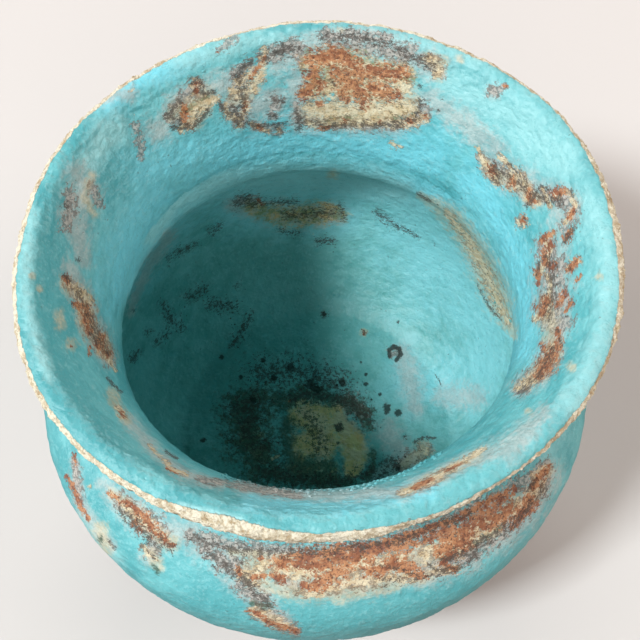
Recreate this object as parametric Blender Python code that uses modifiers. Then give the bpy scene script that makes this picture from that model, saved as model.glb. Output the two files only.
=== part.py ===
# A hand-built earthenware jar: a clay slab, four wall rings, a flared collar and a rolled lip,
# luted on one another, with a coat of glaze inside and outside.
# Metres, +Z up. The origin is the middle of the underside, on which the jar stands.
from math import acos, atan2, cos, hypot, pi, radians, sin, sqrt

import bpy
from mathutils import Vector
from mathutils.geometry import interpolate_bezier

# Widths are diameters, measured over the glaze
LIP_WIDTH = 0.140
THROAT_WIDTH = 0.1012
BELLY_WIDTH = 0.152
FOOT_WIDTH = 0.085

# Heights, each from the level below it
HEEL_RISE = 0.0049
BELLY_RISE = 0.0516
SHOULDER_RISE = 0.0261
COLLAR_RISE = 0.0340

# The heel spreads from the foot, and the walls leave it and reach the lip at a slope
HEEL_SPREAD = 0.0091
HEEL_SLOPE = radians(45)
LIP_SLOPE = radians(55)

# Thicknesses
FLOOR_THICKNESS = 0.0060
WALL_THICKNESS = 0.0040
GLAZE_THICKNESS = 0.0007
LIP_SWELL = 0.0004

# How strongly each bend pulls on the wall, as the length of its handles
HEEL_PULL = 0.0036
BELLY_PULL = 0.0194
SHOULDER_PULL = 0.0170
THROAT_PULL = 0.0125
COLLAR_PULL = 0.0110

# Joints between neighbours
JOINT_GAP = 0.0003
TONGUE_HEIGHT = 0.0011
BARE_HEEL = 0.0040

# Steps up each ring of clay, and around the jar
HEEL_STEPS = 2
LOWER_STEPS = 3
BELLY_STEPS = 3
SHOULDER_STEPS = 4
THROAT_STEPS = 4
COLLAR_STEPS = 4
LIP_STEPS = 8
TURN_STEPS = 48
SHARP_ANGLE = radians(40)
SEAM_MERGE = 0.0001

# How far each ring is out of true: times round, depth, and the bearing of the first crest
BELLY_WOBBLE = ((1, 0.0005, radians(194)), (2, 0.0006, radians(53)), (3, 0.0005, radians(91)))
THROAT_WOBBLE = ((1, 0.0015, radians(104)), (2, 0.0006, radians(14)), (3, 0.0005, radians(115)))
LIP_WOBBLE = ((2, 0.0008, radians(22)), (3, 0.0003, radians(8)), (6, 0.0003, radians(31)))
LIP_WAVE = ((1, 0.0007, radians(18)), (2, 0.0006, radians(60)))

# Levels and the wall's middle line, from the sizes above
half_wall = WALL_THICKNESS / 2
outer_face = half_wall + JOINT_GAP + GLAZE_THICKNESS
lip_radius = outer_face + LIP_SWELL
lip_seat = sqrt(lip_radius**2 - outer_face**2)
heel_level = FLOOR_THICKNESS / 2 + HEEL_RISE
belly_level = heel_level + BELLY_RISE
throat_level = belly_level + SHOULDER_RISE
lip_level = throat_level + COLLAR_RISE
foot_middle = Vector((FOOT_WIDTH / 2, 0, FLOOR_THICKNESS / 2))
heel_middle = Vector((FOOT_WIDTH / 2 + HEEL_SPREAD, 0, heel_level))
belly_middle = Vector((BELLY_WIDTH / 2 - outer_face, 0, belly_level))
throat_middle = Vector((THROAT_WIDTH / 2 + outer_face, 0, throat_level))
lip_middle = Vector((LIP_WIDTH / 2 - lip_radius, 0, lip_level))
outwards = Vector((1, 0, 0))
upwards = Vector((0, 0, 1))
heel_rake = Vector((cos(HEEL_SLOPE), 0, sin(HEEL_SLOPE)))
lip_rake = Vector((cos(LIP_SLOPE), 0, sin(LIP_SLOPE)))


def clear_scene():
    for old in list(bpy.data.objects):
        bpy.data.objects.remove(old, do_unlink=True)


def bend(start, start_handle, end_handle, end, steps):
    """Points along one bend of the wall's middle line, without its first."""
    return interpolate_bezier(start, start + start_handle, end - end_handle, end, steps + 1)[1:]


def middle_line():
    """The middle of the wall from the foot's edge to the lip, as points and directions."""
    points = [foot_middle]
    points += bend(
        foot_middle, outwards * HEEL_PULL, heel_rake * HEEL_PULL, heel_middle, HEEL_STEPS
    )
    points += bend(
        heel_middle, heel_rake * BELLY_PULL, upwards * BELLY_PULL, belly_middle,
        LOWER_STEPS + BELLY_STEPS,
    )
    points += bend(
        belly_middle, upwards * SHOULDER_PULL, upwards * THROAT_PULL, throat_middle,
        SHOULDER_STEPS + THROAT_STEPS,
    )
    points += bend(
        throat_middle, upwards * THROAT_PULL, lip_rake * COLLAR_PULL, lip_middle, COLLAR_STEPS
    )
    inner_ways = [(after - before).normalized() for before, after in zip(points, points[2:])]
    return points, [outwards] + inner_ways + [lip_rake]


LINE, WAYS = middle_line()
HEEL_JOINT = HEEL_STEPS
LOWER_JOINT = HEEL_JOINT + LOWER_STEPS
BELLY_JOINT = LOWER_JOINT + BELLY_STEPS
SHOULDER_JOINT = BELLY_JOINT + SHOULDER_STEPS
THROAT_JOINT = SHOULDER_JOINT + THROAT_STEPS
LIP_JOINT = THROAT_JOINT + COLLAR_STEPS


def at(index, outward, along=0.0):
    """A point beside the middle line, outward from the axis and along the wall."""
    way = WAYS[index]
    return LINE[index] + Vector((way.z, 0, -way.x)) * outward + way * along


def under_lip(outward):
    """A point below the flat seat of the lip's roll, a joint's gap away from it."""
    return at(LIP_JOINT, outward, -lip_seat - JOINT_GAP)


def joint_face(index, along):
    """The scored face of a luted joint: inner edge, raised middle, outer edge."""
    tongue = at(index, 0, along + TONGUE_HEIGHT)
    return [at(index, -half_wall, along), tongue, at(index, half_wall, along)]


def wall_outline(first, last):
    """A ring of clay between two joints, up the inside and down the outside."""
    inner = [at(i, -half_wall) for i in range(first + 1, last)]
    outer = [at(i, half_wall) for i in range(last - 1, first, -1)]
    top_gap = lip_seat + JOINT_GAP if last == LIP_JOINT else JOINT_GAP / 2
    bottom = joint_face(first, JOINT_GAP / 2)
    return inner + joint_face(last, -top_gap) + outer + bottom[::-1]


def clay_half(index):
    """Half the clay's thickness, which thins from the floor to the first joint."""
    thinned = min(1.0, index / HEEL_JOINT)
    return FLOOR_THICKNESS / 2 + (half_wall - FLOOR_THICKNESS / 2) * thinned


def base_outline():
    """The slab and its heel, with the underside flat."""
    inner = [at(i, -clay_half(i)) for i in range(HEEL_JOINT)]
    outer = [at(i, clay_half(i)) for i in range(HEEL_JOINT)]
    top = [Vector((0, 0, FLOOR_THICKNESS))] + inner
    return top + joint_face(HEEL_JOINT, -JOINT_GAP / 2) + outer[::-1] + [Vector((0, 0, 0))]


def lip_outline():
    """The rolled lip: a round bead with a flat, grooved seat on the collar's edge."""
    widest_turn = pi - acos(lip_seat / lip_radius)
    turns = [widest_turn * (2 * i / LIP_STEPS - 1) for i in range(LIP_STEPS + 1)]
    bead = [at(LIP_JOINT, sin(turn) * lip_radius, cos(turn) * lip_radius) for turn in turns]
    return bead + joint_face(LIP_JOINT, -lip_seat)[::-1]


def inner_glaze_outline():
    """The coat inside: a bowl from the middle of the floor to the lip."""
    seats = [clay_half(i) + JOINT_GAP for i in range(LIP_JOINT)]
    hidden = [at(i, -seat) for i, seat in enumerate(seats)]
    shown = [at(i, -seat - GLAZE_THICKNESS) for i, seat in enumerate(seats)]
    edge = [under_lip(-outer_face), under_lip(GLAZE_THICKNESS - outer_face)]
    floor = Vector((0, 0, FLOOR_THICKNESS + JOINT_GAP))
    return [floor + upwards * GLAZE_THICKNESS] + shown + edge + hidden[::-1] + [floor]


def outer_glaze_outline():
    """The coat outside: from above the bare heel to the lip."""
    steps = range(HEEL_JOINT + 1, LIP_JOINT)
    faces = []
    for face in (outer_face - GLAZE_THICKNESS, outer_face):
        start = at(HEEL_JOINT, face, BARE_HEEL)
        faces.append([start] + [at(i, face) for i in steps] + [under_lip(face)])
    return faces[0] + faces[1][::-1]


def wobble(bearing, lobes):
    """How far a ring lies off its true circle at a bearing."""
    return sum(depth * cos(times * (bearing - crest)) for times, depth, crest in lobes)


def eased(level, low, high):
    """Rises smoothly from 0 at the low level to 1 at the high one."""
    share = min(1.0, max(0.0, (level - low) / (high - low)))
    return share * share * (3 - 2 * share)


def out_of_true(point):
    """Moves a point as the hand-thrown rings lie: swollen, shifted and with a wavy lip."""
    radius = hypot(point.x, point.y)
    bearing = atan2(point.y, point.x)
    rings = (
        (0.0, 0.0),
        (belly_level, wobble(bearing, BELLY_WOBBLE) / belly_middle.x),
        (throat_level, wobble(bearing, THROAT_WOBBLE) / throat_middle.x),
        (lip_level, wobble(bearing, LIP_WOBBLE) / lip_middle.x),
    )
    swelling = rings[0][1]
    for (low, _), (high, wider) in zip(rings, rings[1:]):
        swelling += (wider - swelling) * eased(point.z, low, high)
    lift = wobble(bearing, LIP_WAVE) * eased(point.z, throat_level, lip_level)
    swollen = radius * (1 + swelling)
    return Vector((swollen * cos(bearing), swollen * sin(bearing), point.z + lift))


def turned(name, outline, material, collection, on_axis=False):
    """Turns an outline about the jar's axis, then lets it lie as the hand left it."""
    last = len(outline) - 1
    edges = [(i, i + 1) for i in range(last)]
    if not on_axis:
        edges.append((last, 0))
    profile = bpy.data.meshes.new(name + "_profile")
    profile.from_pydata([tuple(point) for point in outline], edges, [])
    piece = bpy.data.objects.new(name, profile)
    collection.objects.link(piece)
    screw = piece.modifiers.new("Turning", "SCREW")
    screw.axis = "Z"
    screw.angle = 2 * pi
    screw.steps = TURN_STEPS
    screw.render_steps = TURN_STEPS
    screw.use_merge_vertices = True
    screw.merge_threshold = SEAM_MERGE
    graph = bpy.context.evaluated_depsgraph_get()
    mesh = bpy.data.meshes.new_from_object(piece.evaluated_get(graph))
    mesh.name = name
    piece.modifiers.clear()
    piece.data = mesh
    bpy.data.meshes.remove(profile)
    for vertex in mesh.vertices:
        vertex.co = out_of_true(vertex.co)
    mesh.shade_smooth()
    mesh.set_sharp_from_angle(angle=SHARP_ANGLE)
    mesh.materials.append(material)


def surface(name, colour, roughness):
    material = bpy.data.materials.new(name)
    material.use_nodes = True
    shader = material.node_tree.nodes["Principled BSDF"]
    shader.inputs["Base Color"].default_value = (*colour, 1)
    shader.inputs["Roughness"].default_value = roughness
    shader.inputs["Metallic"].default_value = 0.0
    material.diffuse_color = (*colour, 1)
    return material


def build():
    clear_scene()
    jar = bpy.data.collections.new("earthenware_jar")
    bpy.context.scene.collection.children.link(jar)
    slab_clay = surface("slab clay", (0.36, 0.15, 0.07), 0.90)
    wall_clay = surface("wall clay", (0.42, 0.19, 0.09), 0.88)
    collar_clay = surface("collar clay", (0.46, 0.21, 0.10), 0.88)
    bare_lip = surface("bare lip", (0.61, 0.48, 0.27), 0.85)
    outer_coat = surface("outer turquoise glaze", (0.13, 0.53, 0.60), 0.55)
    inner_coat = surface("inner turquoise glaze", (0.11, 0.50, 0.58), 0.50)
    turned("base_disc", base_outline(), slab_clay, jar, on_axis=True)
    turned("lower_wall", wall_outline(HEEL_JOINT, LOWER_JOINT), wall_clay, jar)
    turned("belly_wall", wall_outline(LOWER_JOINT, BELLY_JOINT), wall_clay, jar)
    turned("shoulder_wall", wall_outline(BELLY_JOINT, SHOULDER_JOINT), wall_clay, jar)
    turned("throat_wall", wall_outline(SHOULDER_JOINT, THROAT_JOINT), wall_clay, jar)
    turned("flared_collar", wall_outline(THROAT_JOINT, LIP_JOINT), collar_clay, jar)
    turned("lip_roll", lip_outline(), bare_lip, jar)
    turned("outer_glaze", outer_glaze_outline(), outer_coat, jar)
    turned("inner_glaze", inner_glaze_outline(), inner_coat, jar, on_axis=True)


build()
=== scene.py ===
from math import atan, cos, degrees, pi, radians, sin, sqrt

import bpy
import numpy as np
from mathutils import Matrix, Vector


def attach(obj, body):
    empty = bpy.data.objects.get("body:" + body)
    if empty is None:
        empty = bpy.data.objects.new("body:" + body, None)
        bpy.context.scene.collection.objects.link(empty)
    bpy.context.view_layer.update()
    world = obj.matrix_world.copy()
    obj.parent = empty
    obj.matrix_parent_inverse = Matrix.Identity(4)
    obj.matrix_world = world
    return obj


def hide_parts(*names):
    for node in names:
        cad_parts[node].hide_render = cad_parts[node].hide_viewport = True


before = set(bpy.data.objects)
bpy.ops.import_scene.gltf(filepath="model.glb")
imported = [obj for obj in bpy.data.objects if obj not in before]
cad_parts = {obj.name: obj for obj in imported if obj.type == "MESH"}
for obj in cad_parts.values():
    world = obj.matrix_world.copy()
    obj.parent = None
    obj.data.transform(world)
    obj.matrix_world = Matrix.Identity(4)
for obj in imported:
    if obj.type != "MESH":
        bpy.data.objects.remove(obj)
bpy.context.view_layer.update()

print("frame loaded:", ", ".join(sorted(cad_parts)))

# The jar's own sizes in metres, the same as its clay was drawn with
jar = {
    "lipWidth": 0.140,
    "throatWidth": 0.1012,
    "bellyWidth": 0.152,
    "footWidth": 0.085,
    "heelRise": 0.0049,
    "bellyRise": 0.0516,
    "shoulderRise": 0.0261,
    "collarRise": 0.0340,
    "heelSpread": 0.0091,
    "heelSlope": radians(45),
    "lipSlope": radians(55),
    "floorThickness": 0.0060,
    "wallThickness": 0.0040,
    "glazeThickness": 0.0007,
    "skinDepth": 0.00003,
    "shoulderFill": 0.0055,
    "lipSwell": 0.0004,
    "heelPull": 0.0036,
    "bellyPull": 0.0194,
    "shoulderPull": 0.0170,
    "throatPull": 0.0125,
    "collarPull": 0.0110,
    "jointGap": 0.0003,
    "tongueHeight": 0.0011,
    "bareHeel": 0.0040,
}
# How far each ring is out of true: times round, depth in metres, and bearing of the first crest in degrees
outOfTrue = {
    "belly": ((1, 0.0005, 194), (2, 0.0006, 53), (3, 0.0005, 91)),
    "throat": ((1, 0.0015, 104), (2, 0.0006, 14), (3, 0.0005, 115)),
    "lip": ((2, 0.0008, 22), (3, 0.0003, 8), (6, 0.0003, 31)),
    "lipWave": ((1, 0.0007, 18), (2, 0.0006, 60)),
}
# The photograph's own view. Every pixel below is one of its 640 by 640 frame
photoView = {
    "side": 640,
    "focalPixels": 1000,
    "sensorWidth": 36,
    "elevation": radians(57.195),
    "distance": 0.230908,
    "aimHeight": 0.1202,
    "aimPixel": (317.67, 245.025),
}

halfWall = jar["wallThickness"] / 2
faceOffset = halfWall + jar["jointGap"] + jar["glazeThickness"]
lipRadius = faceOffset + jar["lipSwell"]
lipSeat = sqrt(lipRadius**2 - faceOffset**2)


# The wall's middle line, from the axis to the lip's own middle
def bendOf(start, startPull, endPull, end, count=240):
    t = np.linspace(0, 1, count)[1:, None]
    first, last = start + startPull, end - endPull
    points = (1 - t)**3 * start + 3 * (1 - t)**2 * t * first + 3 * (1 - t) * t**2 * last + t**3 * end
    ways = (1 - t)**2 * (first - start) + 2 * (1 - t) * t * (last - first) + t**2 * (end - last)
    return points, ways / np.linalg.norm(ways, axis=1, keepdims=True)


def middleLine():
    up, out = np.array((0.0, 1.0)), np.array((1.0, 0.0))
    heelWay = np.array((cos(jar["heelSlope"]), sin(jar["heelSlope"])))
    lipWay = np.array((cos(jar["lipSlope"]), sin(jar["lipSlope"])))
    foot = np.array((jar["footWidth"] / 2, jar["floorThickness"] / 2))
    heel = foot + (jar["heelSpread"], jar["heelRise"])
    belly = np.array((jar["bellyWidth"] / 2 - faceOffset, heel[1] + jar["bellyRise"]))
    throat = np.array((jar["throatWidth"] / 2 + faceOffset, belly[1] + jar["shoulderRise"]))
    lip = np.array((jar["lipWidth"] / 2 - lipRadius, throat[1] + jar["collarRise"]))
    points = [np.array(((0.0, foot[1]), foot))]
    ways = [np.array((out, out))]
    for start, startPull, endPull, end in (
        (foot, out * jar["heelPull"], heelWay * jar["heelPull"], heel),
        (heel, heelWay * jar["bellyPull"], up * jar["bellyPull"], belly),
        (belly, up * jar["shoulderPull"], up * jar["throatPull"], throat),
        (throat, up * jar["throatPull"], lipWay * jar["collarPull"], lip),
    ):
        found = bendOf(start, startPull, endPull, end)
        points.append(found[0])
        ways.append(found[1])
    ends = np.cumsum([len(part) for part in points]) - 1
    points, ways = np.concatenate(points), np.concatenate(ways)
    steps = np.linalg.norm(np.diff(points, axis=0), axis=1)
    return points, ways, np.concatenate(((0.0,), np.cumsum(steps))), ends


linePoints, lineWays, lineAlong, lineEnds = middleLine()
footAt, heelAt, bellyAt, throatAt, lipAt = (lineAlong[i] for i in lineEnds)
lowerAt = lineAlong[(lineEnds[1] + lineEnds[2]) // 2]
shoulderAt = lineAlong[(lineEnds[2] + lineEnds[3]) // 2]
bellyLevel, throatLevel, lipLevel = (linePoints[i][1] for i in lineEnds[2:])
print("wall line:", round(lipAt * 1000, 1), "mm from the axis to the lip")


def beside(along, outward, further=0.0):
    # a point beside the middle line, as radius and height
    r, z, wayR, wayZ = (np.interp(along, lineAlong, part) for part in (*linePoints.T, *lineWays.T))
    return r + wayZ * outward + wayR * further, z - wayR * outward + wayZ * further


def eased(share):
    share = np.clip(share, 0.0, 1.0)
    return share * share * (3 - 2 * share)


def clayHalf(along):
    # the slab is thicker than the walls
    return np.interp(along, (footAt, heelAt), (jar["floorThickness"] / 2, halfWall))


def innerHalf(along):
    # thicker inside the shoulder than the CAD, because the photograph shows no step under the far throat
    middle, end = (bellyAt + shoulderAt) / 2, throatAt + 0.001
    swell = eased((along - lowerAt) / (middle - lowerAt)) * eased((end - along) / (end - middle))
    return clayHalf(along) + jar["shoulderFill"] * swell


# Outlines run up the inside and down the outside, as radius, height, shown and turn
def outlineOf(*runs):
    return np.concatenate([np.column_stack(np.broadcast_arrays(*run)) for run in runs])


# Shader and geometry maths written as Python expressions
class Wire:
    def __init__(self, nodes, socket):
        self.nodes, self.socket = nodes, socket

    def maths(self, operation, *values):
        return self.nodes.add("ShaderNodeMath", {"operation": operation}, dict(enumerate(values)))

    def __add__(self, other):
        return self.maths("ADD", self, other)

    __radd__ = __add__

    def __sub__(self, other):
        return self.maths("SUBTRACT", self, other)

    def __rsub__(self, other):
        return self.maths("SUBTRACT", other, self)

    def __mul__(self, other):
        return self.maths("MULTIPLY", self, other)

    __rmul__ = __mul__

    def __truediv__(self, other):
        return self.maths("DIVIDE", self, other)

    def __rtruediv__(self, other):
        return self.maths("DIVIDE", other, self)


class Nodes:
    def __init__(self, tree):
        self.tree = tree
        self.forGeometry = tree.bl_idname == "GeometryNodeTree"

    def add(self, kind, settings=None, sockets=None, output=0):
        node = self.tree.nodes.new(kind)
        for name, value in (settings or {}).items():
            setattr(node, name, value)
        for name, value in (sockets or {}).items():
            if isinstance(value, Wire):
                self.tree.links.new(value.socket, node.inputs[name])
            else:
                node.inputs[name].default_value = value
        return Wire(self, node.outputs[output])

    def attribute(self, name):
        if self.forGeometry:
            return self.add("GeometryNodeInputNamedAttribute", {"data_type": "FLOAT"}, {"Name": name})
        return self.add("ShaderNodeAttribute", {"attribute_name": name}, output="Fac")

    def millimetres(self):
        if self.forGeometry:
            place = self.add("GeometryNodeInputPosition")
        else:
            place = self.add("ShaderNodeTexCoord", output="Object")
        return self.add("ShaderNodeVectorMath", {"operation": "SCALE"}, {0: place, "Scale": 1000.0})

    def moved(self, place, scale, shift):
        sockets = {0: place, 1: scale, 2: shift}
        return self.add("ShaderNodeVectorMath", {"operation": "MULTIPLY_ADD"}, sockets)

    def noise(self, place, size, detail=2.0, shift=(0.0, 0.0, 0.0), stretch=(1.0, 1.0, 1.0), roughness=0.5):
        # about 0 to 1 and evenly mixed, with lumps of the given size in millimetres
        moved = self.moved(place, tuple(s / size for s in stretch), shift)
        sockets = {"Vector": moved, "Scale": 1.0, "Detail": detail, "Roughness": roughness}
        return self.add("ShaderNodeTexNoise", {}, sockets)

    def cells(self, place, size, output="Distance", shift=(0.0, 0.0, 0.0)):
        # scattered cells of the given size in millimetres
        moved = self.moved(place, (1 / size,) * 3, shift)
        return self.add("ShaderNodeTexVoronoi", {"feature": "F1"}, {"Vector": moved, "Scale": 1.0}, output)

    def between(self, value, low, high):
        # 0 below low, 1 above high, smooth between
        settings = {"interpolation_type": "SMOOTHSTEP", "clamp": True}
        return self.add("ShaderNodeMapRange", settings, {"Value": value, "From Min": low, "From Max": high})

    def mix(self, factor, first, second):
        # sockets 6 and 7 are the colours, and output 2 the mixed one
        paint = [c if isinstance(c, Wire) else (*c, 1.0) for c in (first, second)]
        return self.add("ShaderNodeMix", {"data_type": "RGBA"}, {0: factor, 6: paint[0], 7: paint[1]}, 2)

    def larger(self, first, second):
        return self.add("ShaderNodeMath", {"operation": "MAXIMUM"}, {0: first, 1: second})


# The wheel leaves everything a little longer round the jar than up it
wheelStretch = (1.0, 1.0, 1.9)


def ragged(nodes, place, name, grain, bite, edge, level, shift, fine=True):
    # turns a mark's soft cover, 0 at its own border and 1 at its middle, into a patch with torn edges
    cover = nodes.attribute(name) - level + (nodes.noise(place, grain, 3.0, shift, wheelStretch) - 0.5) * bite
    if fine:
        cover = cover + (nodes.noise(place, grain * 0.35, 2.0, shift, wheelStretch) - 0.5) * (bite * 0.8)
    return nodes.between(cover, -edge, edge)


# How each kind of mark tears: grain in mm, bite, softness of its edge, level it starts at, place in the noise
markEdges = {
    "haze": (3.2, 2.0, 0.80, 0.15, (3.0, 1.0, 7.0)),
    "lichen": (1.9, 3.2, 0.45, 0.25, (23.0, 1.0, 3.0)),
    "cream": (1.8, 3.0, 0.40, 0.32, (11.0, 5.0, 2.0)),
    "tan": (3.0, 1.8, 0.60, 0.15, (16.0, 27.0, 3.0)),
    "ochre": (3.0, 1.8, 0.50, 0.15, (6.0, 17.0, 4.0)),
    "mould": (2.2, 2.6, 0.60, 0.15, (26.0, 7.0, 14.0)),
    "rust": (1.4, 3.2, 0.35, 0.20, (4.0, 8.0, 13.0)),
    "dark": (0.85, 3.6, 0.35, 0.35, (9.0, 2.0, 21.0)),
    "spots": (1.10, 4.2, 0.40, 0.72, (14.0, 6.0, 11.0)),
    "silt": (4.0, 1.0, 0.35, 0.15, (7.0, 19.0, 8.0)),
    "hole": (1.00, 1.3, 0.25, 0.10, (19.0, 12.0, 1.0)),
    # deep is painted shade; pale and bright are painted light
    "deep": (12.0, 1.6, 0.90, 0.20, (2.0, 31.0, 5.0)),
    "pale": (8.0, 1.8, 0.90, 0.20, (8.0, 12.0, 41.0)),
    "painted_light": (9.0, 1.6, 0.90, 0.20, (18.0, 2.0, 4.0)),
    "bare": (1.6, 1.1, 0.20, 0.00, (15.0, 3.0, 9.0)),
}


def wornMask(nodes, place, name, fine=True):
    return ragged(nodes, place, name, *markEdges[name], fine)


# Geometry Nodes: turning an outline on the wheel, and weathering the skin
def newTree(name, inputs):
    tree = bpy.data.node_groups.new(name, "GeometryNodeTree")
    tree.interface.new_socket(name="Geometry", in_out="INPUT", socket_type="NodeSocketGeometry")
    for label, kind in inputs:
        tree.interface.new_socket(name=label, in_out="INPUT", socket_type="NodeSocket" + kind)
    tree.interface.new_socket(name="Geometry", in_out="OUTPUT", socket_type="NodeSocketGeometry")
    nodes = Nodes(tree)
    given = tree.nodes.new("NodeGroupInput")
    return tree, nodes, {socket.name: Wire(nodes, socket) for socket in given.outputs if socket.name}


def endTree(tree, nodes, mesh, material):
    whole = nodes.add("GeometryNodeRealizeInstances", {}, {"Geometry": mesh})
    dressed = nodes.add("GeometryNodeSetMaterial", {}, {"Geometry": whole, "Material": material})
    out = tree.nodes.new("NodeGroupOutput")
    tree.links.new(dressed.socket, out.inputs["Geometry"])


def lobes(nodes, bearing, ring):
    total = 0.0
    for times, depth, crest in ring:
        turned = bearing * float(times) - times * radians(crest)
        total = total + turned.maths("COSINE", turned) * depth
    return total


wheelBore = 0.001  # the wheel's circle has to have a width, which the outline gives back


def wheelTree():
    inputs = (("Columns", "Int"), ("Weld", "Float"), ("Material", "Material"))
    tree, nodes, given = newTree("turned on the wheel", inputs)
    profile = nodes.add("GeometryNodeMeshToCurve", {}, {"Mesh": given["Geometry"]})
    circle = nodes.add(
        "GeometryNodeCurvePrimitiveCircle", {}, {"Resolution": given["Columns"], "Radius": wheelBore}
    )
    turned = nodes.add("GeometryNodeCurveToMesh", {}, {"Curve": circle, "Profile Curve": profile})
    welded = nodes.add("GeometryNodeMergeByDistance", {}, {"Geometry": turned, "Distance": given["Weld"]})
    place = nodes.add("GeometryNodeInputPosition")
    parts = nodes.add("ShaderNodeSeparateXYZ", {}, {0: place})
    x, y, z = (Wire(nodes, socket) for socket in parts.socket.node.outputs)
    bearing = x.maths("ARCTAN2", y, x)
    swelling = 0.0
    levels = (
        (0.0, None, 1.0),
        (bellyLevel, "belly", jar["bellyWidth"] / 2 - faceOffset),
        (throatLevel, "throat", jar["throatWidth"] / 2 + faceOffset),
        (lipLevel, "lip", jar["lipWidth"] / 2 - lipRadius),
    )
    for (low, _, _), (high, ring, radius) in zip(levels, levels[1:]):
        wider = lobes(nodes, bearing, outOfTrue[ring]) / radius
        swelling = swelling + (wider - swelling) * nodes.between(z, low, high)
    lift = lobes(nodes, bearing, outOfTrue["lipWave"]) * nodes.between(z, throatLevel, lipLevel)
    moved = nodes.add("ShaderNodeCombineXYZ", {}, {0: x * swelling, 1: y * swelling, 2: lift})
    lying = nodes.add("GeometryNodeSetPosition", {}, {"Geometry": welded, "Offset": moved})
    endTree(tree, nodes, lying, given["Material"])
    return tree


def weatherTree():
    inputs = (
        ("Lump Size", "Float"), ("Lump Depth", "Float"), ("Pebble Size", "Float"), ("Pebble Depth", "Float"),
        ("Worn Depth", "Float"), ("Grit Size", "Float"), ("Grit Depth", "Float"), ("Material", "Material"),
    )
    tree, nodes, given = newTree("weathered skin", inputs)
    place = nodes.millimetres()

    def sized(size, shift, detail):
        # the same as noise, with its size from a named input
        spread = nodes.add("ShaderNodeVectorMath", {"operation": "SCALE"}, {0: place, "Scale": 1 / size})
        moved = nodes.add("ShaderNodeVectorMath", {"operation": "ADD"}, {0: spread, 1: shift})
        return nodes.add("ShaderNodeTexNoise", {}, {"Vector": moved, "Scale": 1.0, "Detail": detail})

    lumps = sized(given["Lump Size"], (5.0, 9.0, 1.0), 2.0)
    pebbles = sized(given["Pebble Size"], (1.0, 4.0, 6.0), 3.0)
    grit = sized(given["Grit Size"], (7.0, 2.0, 3.0), 2.0)
    worn = nodes.larger(wornMask(nodes, place, "rust", False), wornMask(nodes, place, "cream", False))
    bare = wornMask(nodes, place, "bare", False)
    depth = nodes.between(lumps, 0.3, 0.7) * given["Lump Depth"]
    depth = depth + nodes.between(pebbles, 0.35, 0.68) * given["Pebble Depth"]
    depth = depth + worn * given["Worn Depth"] * (0.55 + grit)
    depth = depth + nodes.larger(bare, worn * 0.5) * nodes.between(grit, 0.32, 0.68) * given["Grit Depth"]
    inward = nodes.add(
        "ShaderNodeVectorMath", {"operation": "SCALE"},
        {0: nodes.add("GeometryNodeInputNormal"), "Scale": depth * nodes.attribute("shown") * -0.001},
    )
    skin = nodes.add("GeometryNodeSetPosition", {}, {"Geometry": given["Geometry"], "Offset": inward})
    endTree(tree, nodes, skin, given["Material"])
    return tree


def beadTree():
    # small round grains scattered where a named cover is high, half sunk in the skin
    inputs = (
        ("Cover", "Float"), ("Spacing", "Float"), ("Least Radius", "Float"), ("Most Radius", "Float"),
        ("Seed", "Int"), ("Material", "Material"),
    )
    tree, nodes, given = newTree("beads", inputs)
    spread = nodes.add("GeometryNodeDistributePointsOnFaces", {"distribute_method": "POISSON"}, {
        "Mesh": given["Geometry"], "Distance Min": given["Spacing"], "Density Max": 2000000.0,
        "Density Factor": nodes.between(nodes.attribute("grown"), 0.0, given["Cover"]), "Seed": given["Seed"],
    })
    turned = Wire(nodes, spread.socket.node.outputs["Rotation"])
    ball = nodes.add("GeometryNodeMeshUVSphere", {}, {"Segments": 8, "Rings": 5, "Radius": 1.0})
    radius = nodes.add("FunctionNodeRandomValue", {"data_type": "FLOAT"}, {
        "Min": given["Least Radius"], "Max": given["Most Radius"], "Seed": given["Seed"],
    }, 1)
    size = nodes.add("ShaderNodeCombineXYZ", {}, {0: radius, 1: radius * 0.85, 2: radius * 0.6})
    grains = nodes.add("GeometryNodeInstanceOnPoints", {}, {
        "Points": spread, "Instance": ball, "Rotation": turned, "Scale": size,
    })
    endTree(tree, nodes, grains, given["Material"])
    return tree


def grownMesh(piece, tree, values):
    # runs one tree on the piece and leaves a plain mesh
    modifier = piece.modifiers.new(tree.name, "NODES")
    modifier.node_group = tree
    sockets = {item.name: item.identifier for item in tree.interface.items_tree if item.in_out == "INPUT"}
    for name, value in values.items():
        modifier[sockets[name]] = value
    graph = bpy.context.evaluated_depsgraph_get()
    mesh = bpy.data.meshes.new_from_object(piece.evaluated_get(graph))
    piece.modifiers.remove(modifier)
    old, piece.data = piece.data, mesh
    bpy.data.meshes.remove(old)
    mesh.name = piece.name
    return mesh


def store(mesh, name, values):
    mesh.attributes.new(name, "FLOAT", "POINT").data.foreach_set("value", np.asarray(values, np.float32))


def stored(mesh, name):
    values = np.empty(len(mesh.vertices), np.float32)
    mesh.attributes[name].data.foreach_get("value", values)
    return values


def turnedPiece(name, outline, columns, material):
    count = len(outline)
    onAxis = outline[0][0] < 1e-9
    edges = [(i, i + 1) for i in range(count - 1)] + ([] if onAxis else [(count - 1, 0)])
    profile = bpy.data.meshes.new(name)
    profile.from_pydata([(r - wheelBore, -z, 0.0) for r, z, _, _ in outline], edges, [])
    store(profile, "shown", outline[:, 2])
    store(profile, "turn", outline[:, 3])
    piece = bpy.data.objects.new(name, profile)
    bpy.context.scene.collection.objects.link(piece)
    mesh = grownMesh(piece, wheel, {"Columns": columns, "Weld": 0.00001, "Material": material})
    points, triangles = meshArrays(mesh)
    if np.linalg.det(points[triangles]).sum() < 0:
        mesh.flip_normals()
    return piece


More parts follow.
